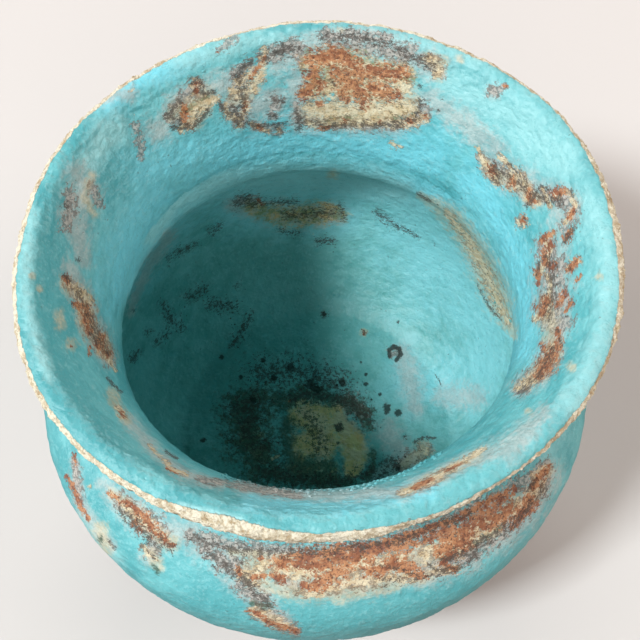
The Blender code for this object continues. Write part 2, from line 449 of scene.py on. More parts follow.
def meshArrays(mesh):
    mesh.calc_loop_triangles()
    points = np.empty(len(mesh.vertices) * 3, np.float32)
    mesh.vertices.foreach_get("co", points)
    triangles = np.empty(len(mesh.loop_triangles) * 3, np.int32)
    mesh.loop_triangles.foreach_get("vertices", triangles)
    return points.reshape(-1, 3).astype(float), triangles.reshape(-1, 3)


# The camera, set up as the photograph's
def cameraAxes():
    e, distance = photoView["elevation"], photoView["distance"]
    right, up, ahead = np.array((1.0, 0, 0)), np.array((0, sin(e), cos(e))), np.array((0, cos(e), -sin(e)))
    middle = photoView["side"] / 2
    across = atan((photoView["aimPixel"][0] - middle) / photoView["focalPixels"])
    down = atan((photoView["aimPixel"][1] - middle) / photoView["focalPixels"])
    right, ahead = right * cos(across) + ahead * sin(across), ahead * cos(across) - right * sin(across)
    ahead, up = ahead * cos(down) + up * sin(down), up * cos(down) - ahead * sin(down)
    eye = np.array((0, -distance * cos(e), photoView["aimHeight"] + distance * sin(e)))
    return eye, right, up, ahead


eye, viewRight, viewUp, viewAhead = cameraAxes()


def toPixels(points):
    away = points - eye
    depth = away @ viewAhead
    focal, middle = photoView["focalPixels"], photoView["side"] / 2
    return middle + focal * (away @ viewRight) / depth, middle - focal * (away @ viewUp) / depth


def addCamera():
    lens = bpy.data.cameras.new("photo camera")
    lens.sensor_width = photoView["sensorWidth"]
    lens.lens = photoView["focalPixels"] * photoView["sensorWidth"] / photoView["side"]
    lens.clip_start = 0.01
    camera = bpy.data.objects.new("photo camera", lens)
    turn = Matrix((viewRight, viewUp, -viewAhead)).transposed().to_4x4()
    camera.matrix_world = Matrix.Translation(eye) @ turn
    bpy.context.scene.collection.objects.link(camera)
    bpy.context.scene.camera = camera


def apart(name, *spots):
    # spots that no stroke joins
    return {f"{name} {number}": [spot] for number, spot in enumerate(spots, 1)}


# Marks of age, and painted light and shade, drawn as strokes of (x, y, radius) in the photograph's pixels
crescent = {
    "pale edge": [
        (419, 196, 4), (432, 203, 7), (454, 220, 11), (473, 246, 13), (487, 275, 14), (499, 304, 13),
    ],
    "pale end": [(498, 304, 12), (509, 326, 7), (515, 338, 3)],
}
collarMarks = {
    # painted light: these strokes lighten the collar where light falls on it
    "painted_light": {
        "far band": [(150, 170, 24), (210, 155, 30), (290, 152, 30), (370, 152, 30), (430, 155, 28)],
        "left crest": [(122, 286, 26), (134, 236, 28), (154, 194, 26)],
        "right band": [(470, 180, 20), (505, 230, 20), (524, 290, 18), (524, 350, 16)],
        "front": [(250, 500, 10), (340, 505, 10), (430, 488, 10)],
        "far rim": [(110, 100, 16), (150, 74, 16), (200, 54, 12)],
    },
    "lichen": {
        "rim left": [(262, 60, 8), (278, 52, 8), (296, 44, 8), (300, 60, 8)],
        "rim middle": [(326, 34, 7), (346, 36, 8), (368, 38, 8), (388, 38, 7)],
        "rim low": [(336, 46, 5), (356, 48, 6), (376, 52, 6)],
        "rim right": [(386, 52, 8), (402, 56, 10), (412, 48, 7), (400, 66, 6)],
        "rim end": [(424, 60, 7), (434, 66, 8), (440, 72, 6)],
        "far left": [(196, 86, 8), (176, 108, 7), (170, 118, 6), (190, 126, 6)],
        "middle": [(240, 74, 9), (250, 66, 8), (236, 88, 7)],
        "ring": [(228, 108, 9), (240, 122, 8), (246, 102, 6)],
        "under island": [(256, 127, 5), (280, 130, 6)],
        "island": [(276, 100, 7), (274, 116, 5)],
        "big patch left": [(298, 120, 7), (296, 106, 5)],
        "big patch hem": [(320, 124, 6), (360, 126, 6), (400, 126, 6), (424, 112, 8)],
        "top right spots": [(493, 92, 6), (505, 87, 4)],
        "rim far left": [(232, 38, 6), (220, 50, 5)],
        "right chain": [(480, 158, 5), (494, 172, 9), (514, 178, 10), (530, 194, 9)],
        "right hook": [(545, 196, 8), (560, 198, 9), (572, 210, 8), (566, 230, 8)],
        "right loop": [(546, 244, 10), (546, 268, 12), (552, 284, 12), (560, 262, 8)],
        "right low": [(548, 300, 12), (562, 300, 10), (548, 322, 10), (566, 320, 8), (552, 340, 8)],
        "right body": [(548, 358, 10), (536, 374, 9), (520, 386, 8)],
        "left chain": [(72, 284, 7), (86, 302, 9), (90, 326, 8), (100, 342, 8), (110, 358, 7)],
        "far left streak": [(136, 124, 4), (140, 140, 5), (142, 158, 4)],
        "left smear": [(70, 192, 6), (72, 206, 7), (66, 226, 7)],
        "left smear faint": [(92, 184, 5), (100, 204, 5)],
        "near right": [(420, 486, 5), (446, 472, 5)],
        "front crest": [(200, 478, 4), (300, 495, 4)],
    },
    "rust": {
        "far left pair": [(196, 84, 3), (197, 92, 3)],
        "far left core": [(185, 107, 4), (186, 121, 4)],
        "middle slash": [(260, 66, 3), (251, 78, 3)],
        "middle rise": [(265, 57, 2), (263, 62, 2)],
        "ring right": [(246, 104, 3), (244, 112, 2)],
        "under middle": [(258, 127, 3), (262, 129, 2)],
        "big patch crown": [(310, 60, 9), (334, 56, 12), (352, 63, 12)],
        "big patch left": [(312, 72, 10), (316, 84, 11), (303, 94, 8)],
        "big patch heart": [(338, 72, 12), (352, 84, 13), (362, 96, 11), (364, 103, 7)],
        "big patch bridge": [(355, 72, 10), (380, 72, 10), (402, 73, 9)],
        "big patch foot": [(343, 96, 6), (348, 101, 4)],
        "big patch right": [(372, 88, 10), (386, 94, 9), (396, 96, 6)],
        "low left spot": [(320, 104, 4)],
        "edge spot one": [(345, 121, 4)],
        "edge spot two": [(380, 123, 3)],
        "edge spot three": [(410, 122, 5)],
        "edge spot four": [(425, 118, 4)],
        "edge spot five": [(320, 129, 3), (329, 128, 3)],
        "chip left of lip": [(218, 52, 2)],
        "right chain one": [(491, 171, 6)],
        "right chain two": [(512, 183, 6)],
        "right chain three": [(528, 189, 3), (529, 198, 5), (535, 201, 3)],
        "right chain low": [(522, 220, 5)],
        "right hook top": [(555, 193, 6), (562, 191, 5)],
        "right hook side": [(573, 209, 3), (568, 218, 3)],
        "right hook end": [(570, 231, 3), (565, 239, 5)],
        "right loop top": [(553, 232, 3), (543, 237, 4), (540, 243, 3)],
        "right loop": [(551, 244, 4), (543, 251, 4), (543, 262, 4), (552, 266, 5)],
        "right loop foot": [(536, 271, 4), (537, 283, 3)],
        "right pair": [(576, 260, 5), (568, 268, 5)],
        "right small": [(580, 275, 2), (574, 282, 2)],
        "right small low": [(564, 311, 2), (571, 303, 2)],
        "right knot": [(545, 300, 6), (541, 314, 5)],
        "right slash": [(564, 293, 4), (556, 305, 4)],
        "right edge knot": [(535, 307, 4)],
        "right spot": [(570, 302, 4)],
        "right low slash": [(556, 329, 3), (558, 338, 4), (556, 348, 6)],
        "right low horn": [(541, 343, 3), (543, 350, 4)],
        "right low body": [(549, 354, 10), (545, 365, 11), (538, 373, 7)],
        "left chain top": [(66, 276, 4), (70, 283, 3)],
        "left chain middle": [(76, 304, 4), (86, 307, 6), (88, 320, 6), (91, 331, 4)],
        "left chain low": [(103, 336, 5), (99, 345, 5), (109, 354, 5)],
        "left chain side": [(90, 346, 2), (90, 355, 2)],
        "left faint heart": [(72, 346, 2)],
        "left tail": [(121, 410, 2), (125, 416, 2)],
        "near left streak": [(168, 467, 2), (178, 472, 1.5)],
        "near right streak": [(412, 487, 3), (420, 483, 4), (432, 477, 3)],
        "near right streak end": [(444, 470, 2), (462, 462, 2)],
        "crest mark": [(326, 176, 4), (334, 175, 3)],
        "crest mark left": [(310, 175, 2)],
        "top right spot": [(505, 86, 3)],
    },
    "cream": {
        "far left head": [(196, 84, 7), (197, 95, 6)],
        "far left body": [(215, 99, 6), (204, 104, 8), (197, 112, 8), (190, 123, 7), (180, 131, 4)],
        "middle band": [(233, 92, 6), (252, 90, 7), (262, 76, 5), (264, 58, 5), (265, 49, 4)],
        "middle knot": [(240, 84, 6), (252, 74, 6)],
        "ring": [(226, 105, 3), (228, 116, 4), (240, 119, 4), (247, 108, 4), (243, 98, 4), (232, 97, 4)],
        "ring foot": [(240, 126, 4)],
        "under middle": [(251, 125, 3), (262, 129, 4), (268, 133, 3)],
        "under island": [(279, 132, 4)],
        "big patch top": [(306, 62, 7), (330, 58, 12), (352, 66, 12), (378, 76, 12), (402, 74, 10)],
        "big patch middle": [(306, 94, 8), (330, 86, 18), (360, 92, 20), (390, 92, 17), (404, 88, 10)],
        "big patch low": [(312, 112, 12), (335, 112, 14), (365, 112, 15), (395, 108, 14), (410, 106, 9)],
        "big patch hem": [(308, 124, 5), (340, 124, 6), (378, 122, 6), (408, 124, 6), (425, 118, 5)],
        "upper right": [(432, 60, 6), (440, 66, 6), (436, 75, 4)],
        "far left spot": [(133, 90, 3)],
        "low smear": [(390, 144, 3), (400, 147, 3)],
        "right chain one": [(478, 147, 3), (482, 160, 3), (490, 172, 8), (497, 184, 4)],
        "right chain two": [(498, 155, 3), (508, 166, 4), (516, 176, 5), (512, 184, 9)],
        "right chain three": [(521, 176, 5), (528, 190, 5), (530, 200, 7), (535, 202, 5)],
        "right chain low": [(521, 222, 7)],
        "right strokes": [(542, 189, 3), (546, 200, 4), (550, 208, 3)],
        "right hook": [(556, 194, 6), (567, 192, 4), (575, 204, 3), (569, 217, 4), (562, 224, 3)],
        "right loop": [(552, 234, 4), (543, 240, 4), (548, 248, 4), (545, 262, 4), (536, 275, 4)],
        "right middle": [(546, 276, 3), (550, 286, 3), (547, 298, 5), (545, 312, 7), (534, 320, 4)],
        "right pair": [(576, 261, 5), (568, 268, 4)],
        "right low body": [(550, 345, 5), (548, 360, 9), (538, 373, 8), (524, 384, 6), (514, 388, 4)],
        "left chain": [(68, 280, 5), (80, 292, 6), (90, 300, 7), (84, 308, 8), (89, 322, 8), (93, 331, 5)],
        "left chain low": [(102, 338, 7), (104, 350, 7), (112, 362, 4), (117, 370, 2)],
        "left tail": [(118, 405, 3), (125, 416, 4)],
        "near left": [(150, 444, 2), (172, 468, 3), (188, 474, 3)],
        "near right": [(400, 492, 4), (424, 482, 5), (446, 470, 5), (466, 458, 4), (484, 447, 3)],
        "crest mark": [(328, 176, 7)],
        "crest mark left": [(256, 181, 5)],
    },
    "ochre": {
        "big patch crown": [(308, 62, 10), (340, 60, 14), (376, 72, 12), (404, 76, 10)],
        "big patch heart": [(316, 86, 12), (344, 84, 14), (376, 92, 12)],
        "big patch hem": [(330, 118, 7), (372, 118, 7), (410, 112, 7)],
        "far left body": [(186, 112, 6), (206, 100, 5)],
    },
    "spots": {
        "rim": [(322, 38, 8), (344, 36, 9), (368, 40, 9), (390, 44, 9), (406, 56, 9), (434, 66, 8)],
        "rim left": [(266, 58, 8), (282, 50, 8), (298, 48, 7)],
        "far left": [(172, 116, 6), (190, 128, 6), (208, 112, 5)],
        "middle": [(232, 108, 8), (244, 122, 7), (240, 78, 7)],
        "big patch hem": [(300, 122, 5), (340, 126, 5), (380, 125, 5), (414, 120, 6), (422, 100, 5)],
        "left smear": [(68, 206, 6)],
        "left chain": [(78, 290, 6), (92, 320, 6), (106, 350, 6)],
        "right chain": [(492, 170, 7), (514, 180, 7), (534, 196, 7), (560, 200, 7)],
        "right loop": [(546, 256, 8), (552, 284, 8), (548, 316, 8)],
        "right low": [(552, 348, 6), (536, 376, 6), (516, 392, 5)],
    },
    "tan": {
        "top peach": [(340, 30, 4)],
        "far spot": [(459, 59, 5)],
        "rim right": [(430, 58, 8), (440, 66, 9), (438, 76, 6)],
        "far left olive": [(176, 112, 10), (206, 98, 12), (196, 122, 8)],
        "middle": [(232, 100, 8), (250, 92, 8), (262, 72, 6)],
        "big patch": [
            (320, 64, 12), (352, 66, 12), (400, 74, 12), (406, 100, 12), (360, 116, 12), (310, 112, 12),
        ],
        "left olive": [(92, 176, 5), (84, 196, 4), (96, 214, 5)],
        "left chain": [(66, 282, 7), (84, 300, 10), (90, 328, 10), (106, 350, 9)],
        "left faint": [(60, 312, 5), (62, 326, 5)],
        "left faint low": [(72, 344, 7)],
        "left lip spots": [(33, 276, 4)],
        "left lip spot low": [(40, 288, 4)],
        "left tail": [(112, 392, 6), (120, 410, 6), (128, 420, 5)],
        "right pale spot": [(598, 276, 5)],
        **crescent,
        "right chain": [(482, 158, 5), (494, 176, 7), (516, 182, 9), (534, 200, 8)],
        "right low": [(546, 304, 9), (552, 350, 9), (536, 374, 8)],
        "right soft spot": [(570, 366, 5)],
        "right soft spot low": [(528, 410, 4)],
        "near right": [(404, 490, 4), (436, 476, 6), (476, 454, 5)],
    },
    "bead": {
        "near crest left": [(222, 474, 4), (250, 482, 5), (278, 488, 5)],
        "near crest": [(278, 488, 4), (312, 492, 5), (346, 489, 5), (378, 482, 5)],
        "near crest right": [(378, 482, 4), (410, 470, 4), (440, 452, 3)],
        "left ring": [(33, 276, 6), (40, 288, 5)],
        "far left": [(232, 46, 10), (200, 66, 8)],
        "far middle": [(262, 97, 6)],
        "far right": [(500, 90, 5), (494, 96, 4)],
        "left rim": [(70, 150, 6), (110, 110, 6)],
        "near left": [(120, 450, 6), (160, 478, 6)],
    },
    "haze": {
        "far rim band": [
            (280, 62, 14), (300, 52, 14), (330, 38, 12), (365, 40, 14), (400, 52, 16), (432, 66, 14),
        ],
        "far left": [(180, 104, 14), (205, 90, 14), (230, 84, 14), (250, 110, 18), (276, 100, 16)],
        "far patch surround": [(300, 80, 16), (300, 120, 12), (350, 120, 14), (400, 124, 12), (424, 104, 14)],
        "far left wall": [(100, 96, 8), (130, 92, 8)],
        "left upper": [(76, 172, 12), (84, 190, 15), (76, 212, 14), (80, 240, 10), (84, 262, 8)],
        "left lavender": [(160, 130, 14)],
        "left chain": [(72, 270, 10), (84, 300, 10), (98, 335, 12), (110, 360, 8)],
        "left near": [(130, 420, 7), (155, 450, 7), (185, 474, 7), (220, 484, 6)],
        "far right": [(430, 100, 11), (466, 124, 13), (496, 150, 11)],
        "right chain": [(486, 160, 8), (510, 176, 14), (536, 190, 14), (564, 200, 14), (560, 222, 12)],
        "right middle": [(552, 250, 16), (554, 280, 18), (548, 310, 16), (560, 330, 10)],
        "right low": [(550, 350, 12), (536, 374, 12), (518, 388, 9)],
        "near right": [(400, 492, 8), (440, 474, 9), (476, 456, 9), (510, 446, 14), (544, 412, 9)],
        "top right rings": [(493, 92, 7)],
        "top spot": [(459, 59, 4)],
        "front crest": [(240, 486, 7), (290, 493, 6), (340, 495, 6), (392, 491, 7)],
    },
    "dark": {
        "far left edge": [(168, 116, 4), (174, 109, 4), (181, 101, 4)],
        "far left top": [(192, 84, 2), (200, 81, 3), (203, 94, 3), (214, 92, 3)],
        "far left hem": [(172, 128, 3), (182, 129, 2), (196, 126, 2), (206, 114, 2)],
        "middle edge": [(220, 104, 3), (226, 112, 3), (233, 118, 3), (240, 126, 3)],
        "middle top": [(236, 78, 4), (244, 66, 4), (252, 62, 3)],
        "middle foot": [(246, 98, 3), (238, 96, 2)],
        "rim speckle": [(274, 54, 3), (284, 50, 3)],
        "island ring": [(271, 97, 2), (276, 102, 2), (284, 102, 2)],
        "island mark": [(269, 115, 3), (276, 117, 3)],
        "under island": [(250, 124, 3), (256, 127, 3), (286, 123, 2)],
        "under island low": [(278, 129, 3), (283, 133, 3)],
        "big patch left": [(296, 112, 3), (299, 120, 4), (299, 130, 4)],
        "big patch heart": [(334, 84, 4)],
        "big patch hem": [(322, 128, 2), (345, 127, 2)],
        "big patch hem right": [(380, 125, 2), (402, 127, 2)],
        "big patch right": [(419, 100, 2), (420, 108, 2)],
        "big patch top right": [(420, 86, 3)],
        "lone ticks": [(442, 99, 2)],
        "lone ticks low": [(438, 111, 2)],
        "right chain one": [(494, 163, 2), (498, 185, 2), (492, 179, 2)],
        "right chain two": [(507, 163, 2), (513, 170, 2), (517, 176, 2), (526, 180, 2), (525, 186, 2)],
        "right chain three": [(526, 206, 3), (540, 186, 2), (548, 190, 2)],
        "right hook grey": [(560, 203, 4)],
        "right hook edge": [(570, 190, 2), (572, 196, 2)],
        "right hook end": [(572, 228, 3), (564, 242, 3)],
        "right loop": [(556, 266, 2), (554, 270, 2)],
        "right loop edge": [(538, 262, 1.5), (535, 276, 1.5)],
        "right low edge": [(558, 330, 1.5), (560, 346, 1.5)],
        "right pair edge": [(580, 256, 1.5)],
        "right pair": [(567, 268, 3)],
        "right low": [(556, 329, 2)],
        "right low two": [(559, 340, 2)],
        "right low tail": [(518, 392, 2), (528, 386, 2)],
        "right tick one": [(566, 316, 1.5)],
        "right tick two": [(532, 321, 1.5)],
        "left chain one": [(66, 275, 2.5), (71, 281, 2)],
        "left chain two": [(74, 303, 2)],
        "left chain three": [(91, 332, 2), (98, 343, 2.5)],
        "left chain four": [(109, 353, 3)],
        "left lone": [(78, 259, 3)],
        "left dash": [(108, 377, 1.6), (115, 385, 1.6), (122, 391, 2.2)],
        "near left dash": [(166, 450, 1.6), (178, 458, 1.6)],
        "left spot": [(83, 233, 1.5)],
    },
    # painted shade: these strokes darken the collar's troughs where shade falls
    "deep": {
        "left trough": [(40, 240, 12), (44, 320, 14), (70, 390, 14), (110, 440, 14)],
        "near trough": [(250, 470, 6), (150, 400, 10)],
    },
    # painted light: these strokes lighten the lit flares and rims
    "pale": {
        "far right": [(450, 80, 24), (510, 112, 28), (560, 160, 26)],
        "right flare": [(586, 200, 20), (612, 270, 18), (604, 340, 18), (572, 404, 18)],
        "far rim": [(180, 60, 12), (260, 40, 10), (420, 40, 10), (480, 60, 14)],
        "left rim": [(30, 210, 8), (24, 300, 8), (50, 380, 6)],
        "front hem": [(180, 505, 4), (240, 518, 4)],
        "left wall": [(110, 130, 18), (90, 160, 12)],
    },
}
chamberMarks = {
    # painted light: these strokes lighten the lit wall and the shaded walls under the throat
    "painted_light": {
        "lit wall": [(400, 230, 40), (450, 270, 60), (490, 330, 50), (470, 390, 40), (420, 380, 30)],
        "far wall": [(186, 200, 26), (236, 186, 30), (300, 182, 32), (370, 186, 32), (430, 202, 30)],
        "under the far wall": [(230, 214, 22), (290, 212, 24), (350, 216, 24)],
        "left wall": [(130, 290, 16), (150, 250, 20), (180, 214, 20)],
    },
    "ochre": {
        "far throat": [(250, 208, 7), (284, 217, 12), (310, 215, 13), (330, 214, 11), (344, 216, 6)],
        "floor hem": [(300, 466, 12), (330, 470, 12)],
        "mould heart": [(250, 436, 12)],
        "mould low": [(262, 452, 10)],
    },
    "tan": {
        "far throat": [(284, 218, 6), (318, 214, 8), (334, 214, 6)],
        **crescent,
        # the sun strokes: a real stain, with painted light where light falls on it
        "floor sun": [(354, 440, 12), (358, 454, 12), (352, 470, 8)],
        "small patch": [(424, 449, 9), (404, 464, 5)],
        "small patch sun": [(426, 450, 7)],
        "mould olive": [(252, 448, 6), (258, 456, 5)],
        "far crest": [(334, 175, 5), (330, 176, 4)],
        "wall spot": [(364, 332, 4)],
    },
    "cream": {
        "white flake": [(278, 456, 2), (272, 459, 1.6)],
        "small patch": [(426, 450, 5)],
        "crescent heart": [(446, 213, 4), (468, 240, 6), (484, 270, 8), (497, 300, 8), (507, 322, 4)],
    },
    "mould": {
        "left": [(242, 414, 22), (252, 420, 24), (246, 440, 24), (260, 452, 22)],
        "crown": [(236, 400, 10), (262, 396, 12), (284, 402, 12), (304, 392, 10), (322, 396, 10)],
        "right crown": [(330, 398, 8), (350, 402, 10), (364, 412, 10), (368, 424, 8)],
        "foot": [(256, 470, 18), (286, 474, 16), (320, 478, 14), (344, 484, 12)],
        "between": [(286, 420, 8), (288, 450, 8), (300, 466, 12), (330, 466, 8)],
        "patch edge": [(372, 452, 4), (374, 466, 5), (366, 478, 5)],
    },
    "rust": {
        "mould top": [(290, 400, 2)],
        "wall spot": [(364, 332, 3)],
        "far throat": [(258, 200, 2), (262, 205, 2)],
    },
    "haze": {
        "left crest line": [(171, 236, 7), (150, 266, 6), (136, 296, 5), (131, 314, 4)],
        "far throat": [(230, 206, 7), (262, 212, 10), (300, 216, 12), (340, 216, 8)],
        "floor right": [(388, 430, 12), (396, 444, 12), (410, 462, 10), (376, 476, 10)],
        "pit": [(394, 353, 5)],
        # a painted sheen, laid on as grey bloom
        "sheen": [(402, 350, 8), (411, 380, 12), (416, 406, 9)],
        "right low": [(446, 396, 12), (474, 396, 12)],
    },
    "dark": {
        "left ticks": [(169, 267, 1.5)],
        "crescent tip": [(417, 194, 1.5), (424, 199, 2), (430, 202, 1.5)],
        "crescent inner": [(477, 284, 1), (484, 298, 1.4), (492, 312, 1.8), (500, 320, 1.2)],
        "trail": [(434, 245, 1.6)],
        "left low": [(134, 311, 2)],
        "left low dark": [(136, 356, 2.5), (134, 362, 2)],
        "middle spot": [(324, 314, 4)],
        "middle wall spot": [(364, 332, 2.5)],
        "scratch": [(434, 372, 0.8), (442, 386, 0.8)],
        "small patch ring": [(414, 442, 1.5), (424, 437, 2), (434, 438, 2)],
        "small patch tail": [(405, 437, 2.5)],
        "small patch low": [(380, 463, 2), (392, 459, 3), (399, 468, 2.5)],
    },
    "spots": {
        "far crest left": [(236, 204, 7), (246, 199, 8), (254, 206, 7)],
        "far crest": [(262, 204, 5), (278, 203, 5), (296, 202, 5)],
        "far patch": [(286, 216, 9), (312, 214, 10), (334, 212, 9)],
        "far patch right": [(340, 206, 5), (344, 219, 5)],
        "far patch low": [(281, 231, 5), (298, 234, 5)],
        "under far patch": [(318, 241, 6), (332, 241, 6)],
        "far crest right": [(376, 213, 6), (388, 222, 6), (404, 230, 4), (418, 237, 3)],
        "left streak high": [(212, 232, 6), (220, 226, 6)],
        "left streak low": [(170, 259, 5), (184, 250, 6), (196, 244, 5)],
        "wall one": [(189, 297, 8), (205, 289, 8)],
        "wall two": [(210, 305, 9), (222, 305, 11), (234, 307, 9)],
        "wall three": [(238, 286, 5)],
        "wall four": [(250, 316, 7), (243, 329, 8), (233, 344, 7)],
        "wall five": [(163, 305, 7), (173, 322, 9), (180, 327, 8)],
        "wall six": [(168, 333, 7), (157, 343, 6)],
        "wall seven": [(148, 332, 5)],
        "wall eight": [(138, 352, 6), (132, 360, 5)],
        "mould": [(236, 410, 20), (256, 402, 22), (244, 436, 24), (262, 446, 22)],
        "mould top": [(290, 398, 14), (322, 394, 14), (352, 402, 14), (368, 418, 12)],
        "mould low": [(260, 470, 16), (300, 478, 14), (340, 484, 12), (372, 470, 10)],
        "floor patch": [(310, 420, 18), (320, 446, 14)],
        "floor wall": [(262, 372, 22), (300, 372, 22), (340, 384, 20)],
        "right floor": [(392, 464, 12), (376, 480, 8)],
    },
    "silt": {
        "square": [(302, 414, 16), (322, 420, 20), (324, 440, 20), (304, 444, 16)],
        "square right": [(336, 412, 10), (344, 430, 12), (352, 446, 14)],
        # a real stain, with painted light where light falls on it
        "sun": [(354, 440, 12), (356, 456, 12), (352, 470, 9)],
    },
    "hole": {
        "pit": [(389, 350, 2.4), (393, 346, 2.4), (399, 348, 2.4), (401, 354, 2.4), (396, 360, 2.2)],
        "pit left": [(389, 350, 2), (390, 356, 2)],
        "long chip": [(387, 407, 4), (387, 411, 3)],
        "wide chip": [(310, 384, 5), (318, 390, 4)],
        **apart(
            "chip", (221, 357, 2.6), (263, 360, 3), (290, 367, 4), (274, 378, 4), (241, 377, 2.6),
            (342, 382, 4), (366, 374, 2), (366, 384, 2.6), (380, 394, 2), (398, 412, 4), (339, 427, 5),
            (203, 440, 3), (338, 443, 2), (253, 400, 4), (398, 468, 2.6), (324, 314, 3), (398, 322, 1.6),
            (361, 362, 1.6),
        ),
    },
    "speck": {
        "mould": [(236, 410, 20), (250, 412, 22), (240, 440, 22), (262, 440, 20)],
        "mould crowns": [(246, 398, 16), (290, 398, 14), (312, 388, 14), (345, 402, 14), (362, 416, 12)],
        "mould foot": [(260, 470, 16), (300, 474, 16), (340, 474, 14), (300, 488, 12)],
        "pinholes": [(240, 376, 22), (290, 376, 26), (340, 384, 22), (380, 402, 16)],
        "far patch": [(240, 206, 10), (290, 214, 14), (340, 212, 12)],
        "left wall": [(170, 316, 18), (220, 304, 16), (240, 330, 14)],
        "small patch": [(424, 450, 13), (396, 462, 12)],
        "trail": [(373, 212, 9), (396, 226, 8), (420, 240, 6)],
        "crescent": [(430, 200, 5), (456, 220, 6), (484, 260, 6), (494, 308, 6)],
        "right floor": [(392, 470, 10), (370, 484, 8)],
    },
    # painted shade: these strokes darken the chamber's shadowed middle and floor
    "deep": {
        "middle": [(250, 256, 26), (310, 274, 34), (320, 320, 30)],
        "floor": [(310, 356, 34), (240, 340, 30), (200, 380, 30)],
    },
    # painted light: a painted sheen on the lit wall, and lighter glaze painted on the far wall under the
    # throat
    "pale": {
        "sheen": [(404, 345, 12), (412, 380, 14), (414, 410, 10)],
        "far wall": [
            (150, 236, 8), (176, 206, 12), (220, 184, 14), (290, 178, 16), (350, 182, 16), (400, 190, 12),
        ],
    },
    "lichen": {
        "pit": [(394, 352, 6)],
        "small patch": [(424, 450, 8), (400, 464, 6)],
        "mould right": [(350, 402, 10), (364, 418, 7)],
        "crest streaks": [(240, 202, 5), (256, 200, 5)],
    },
}
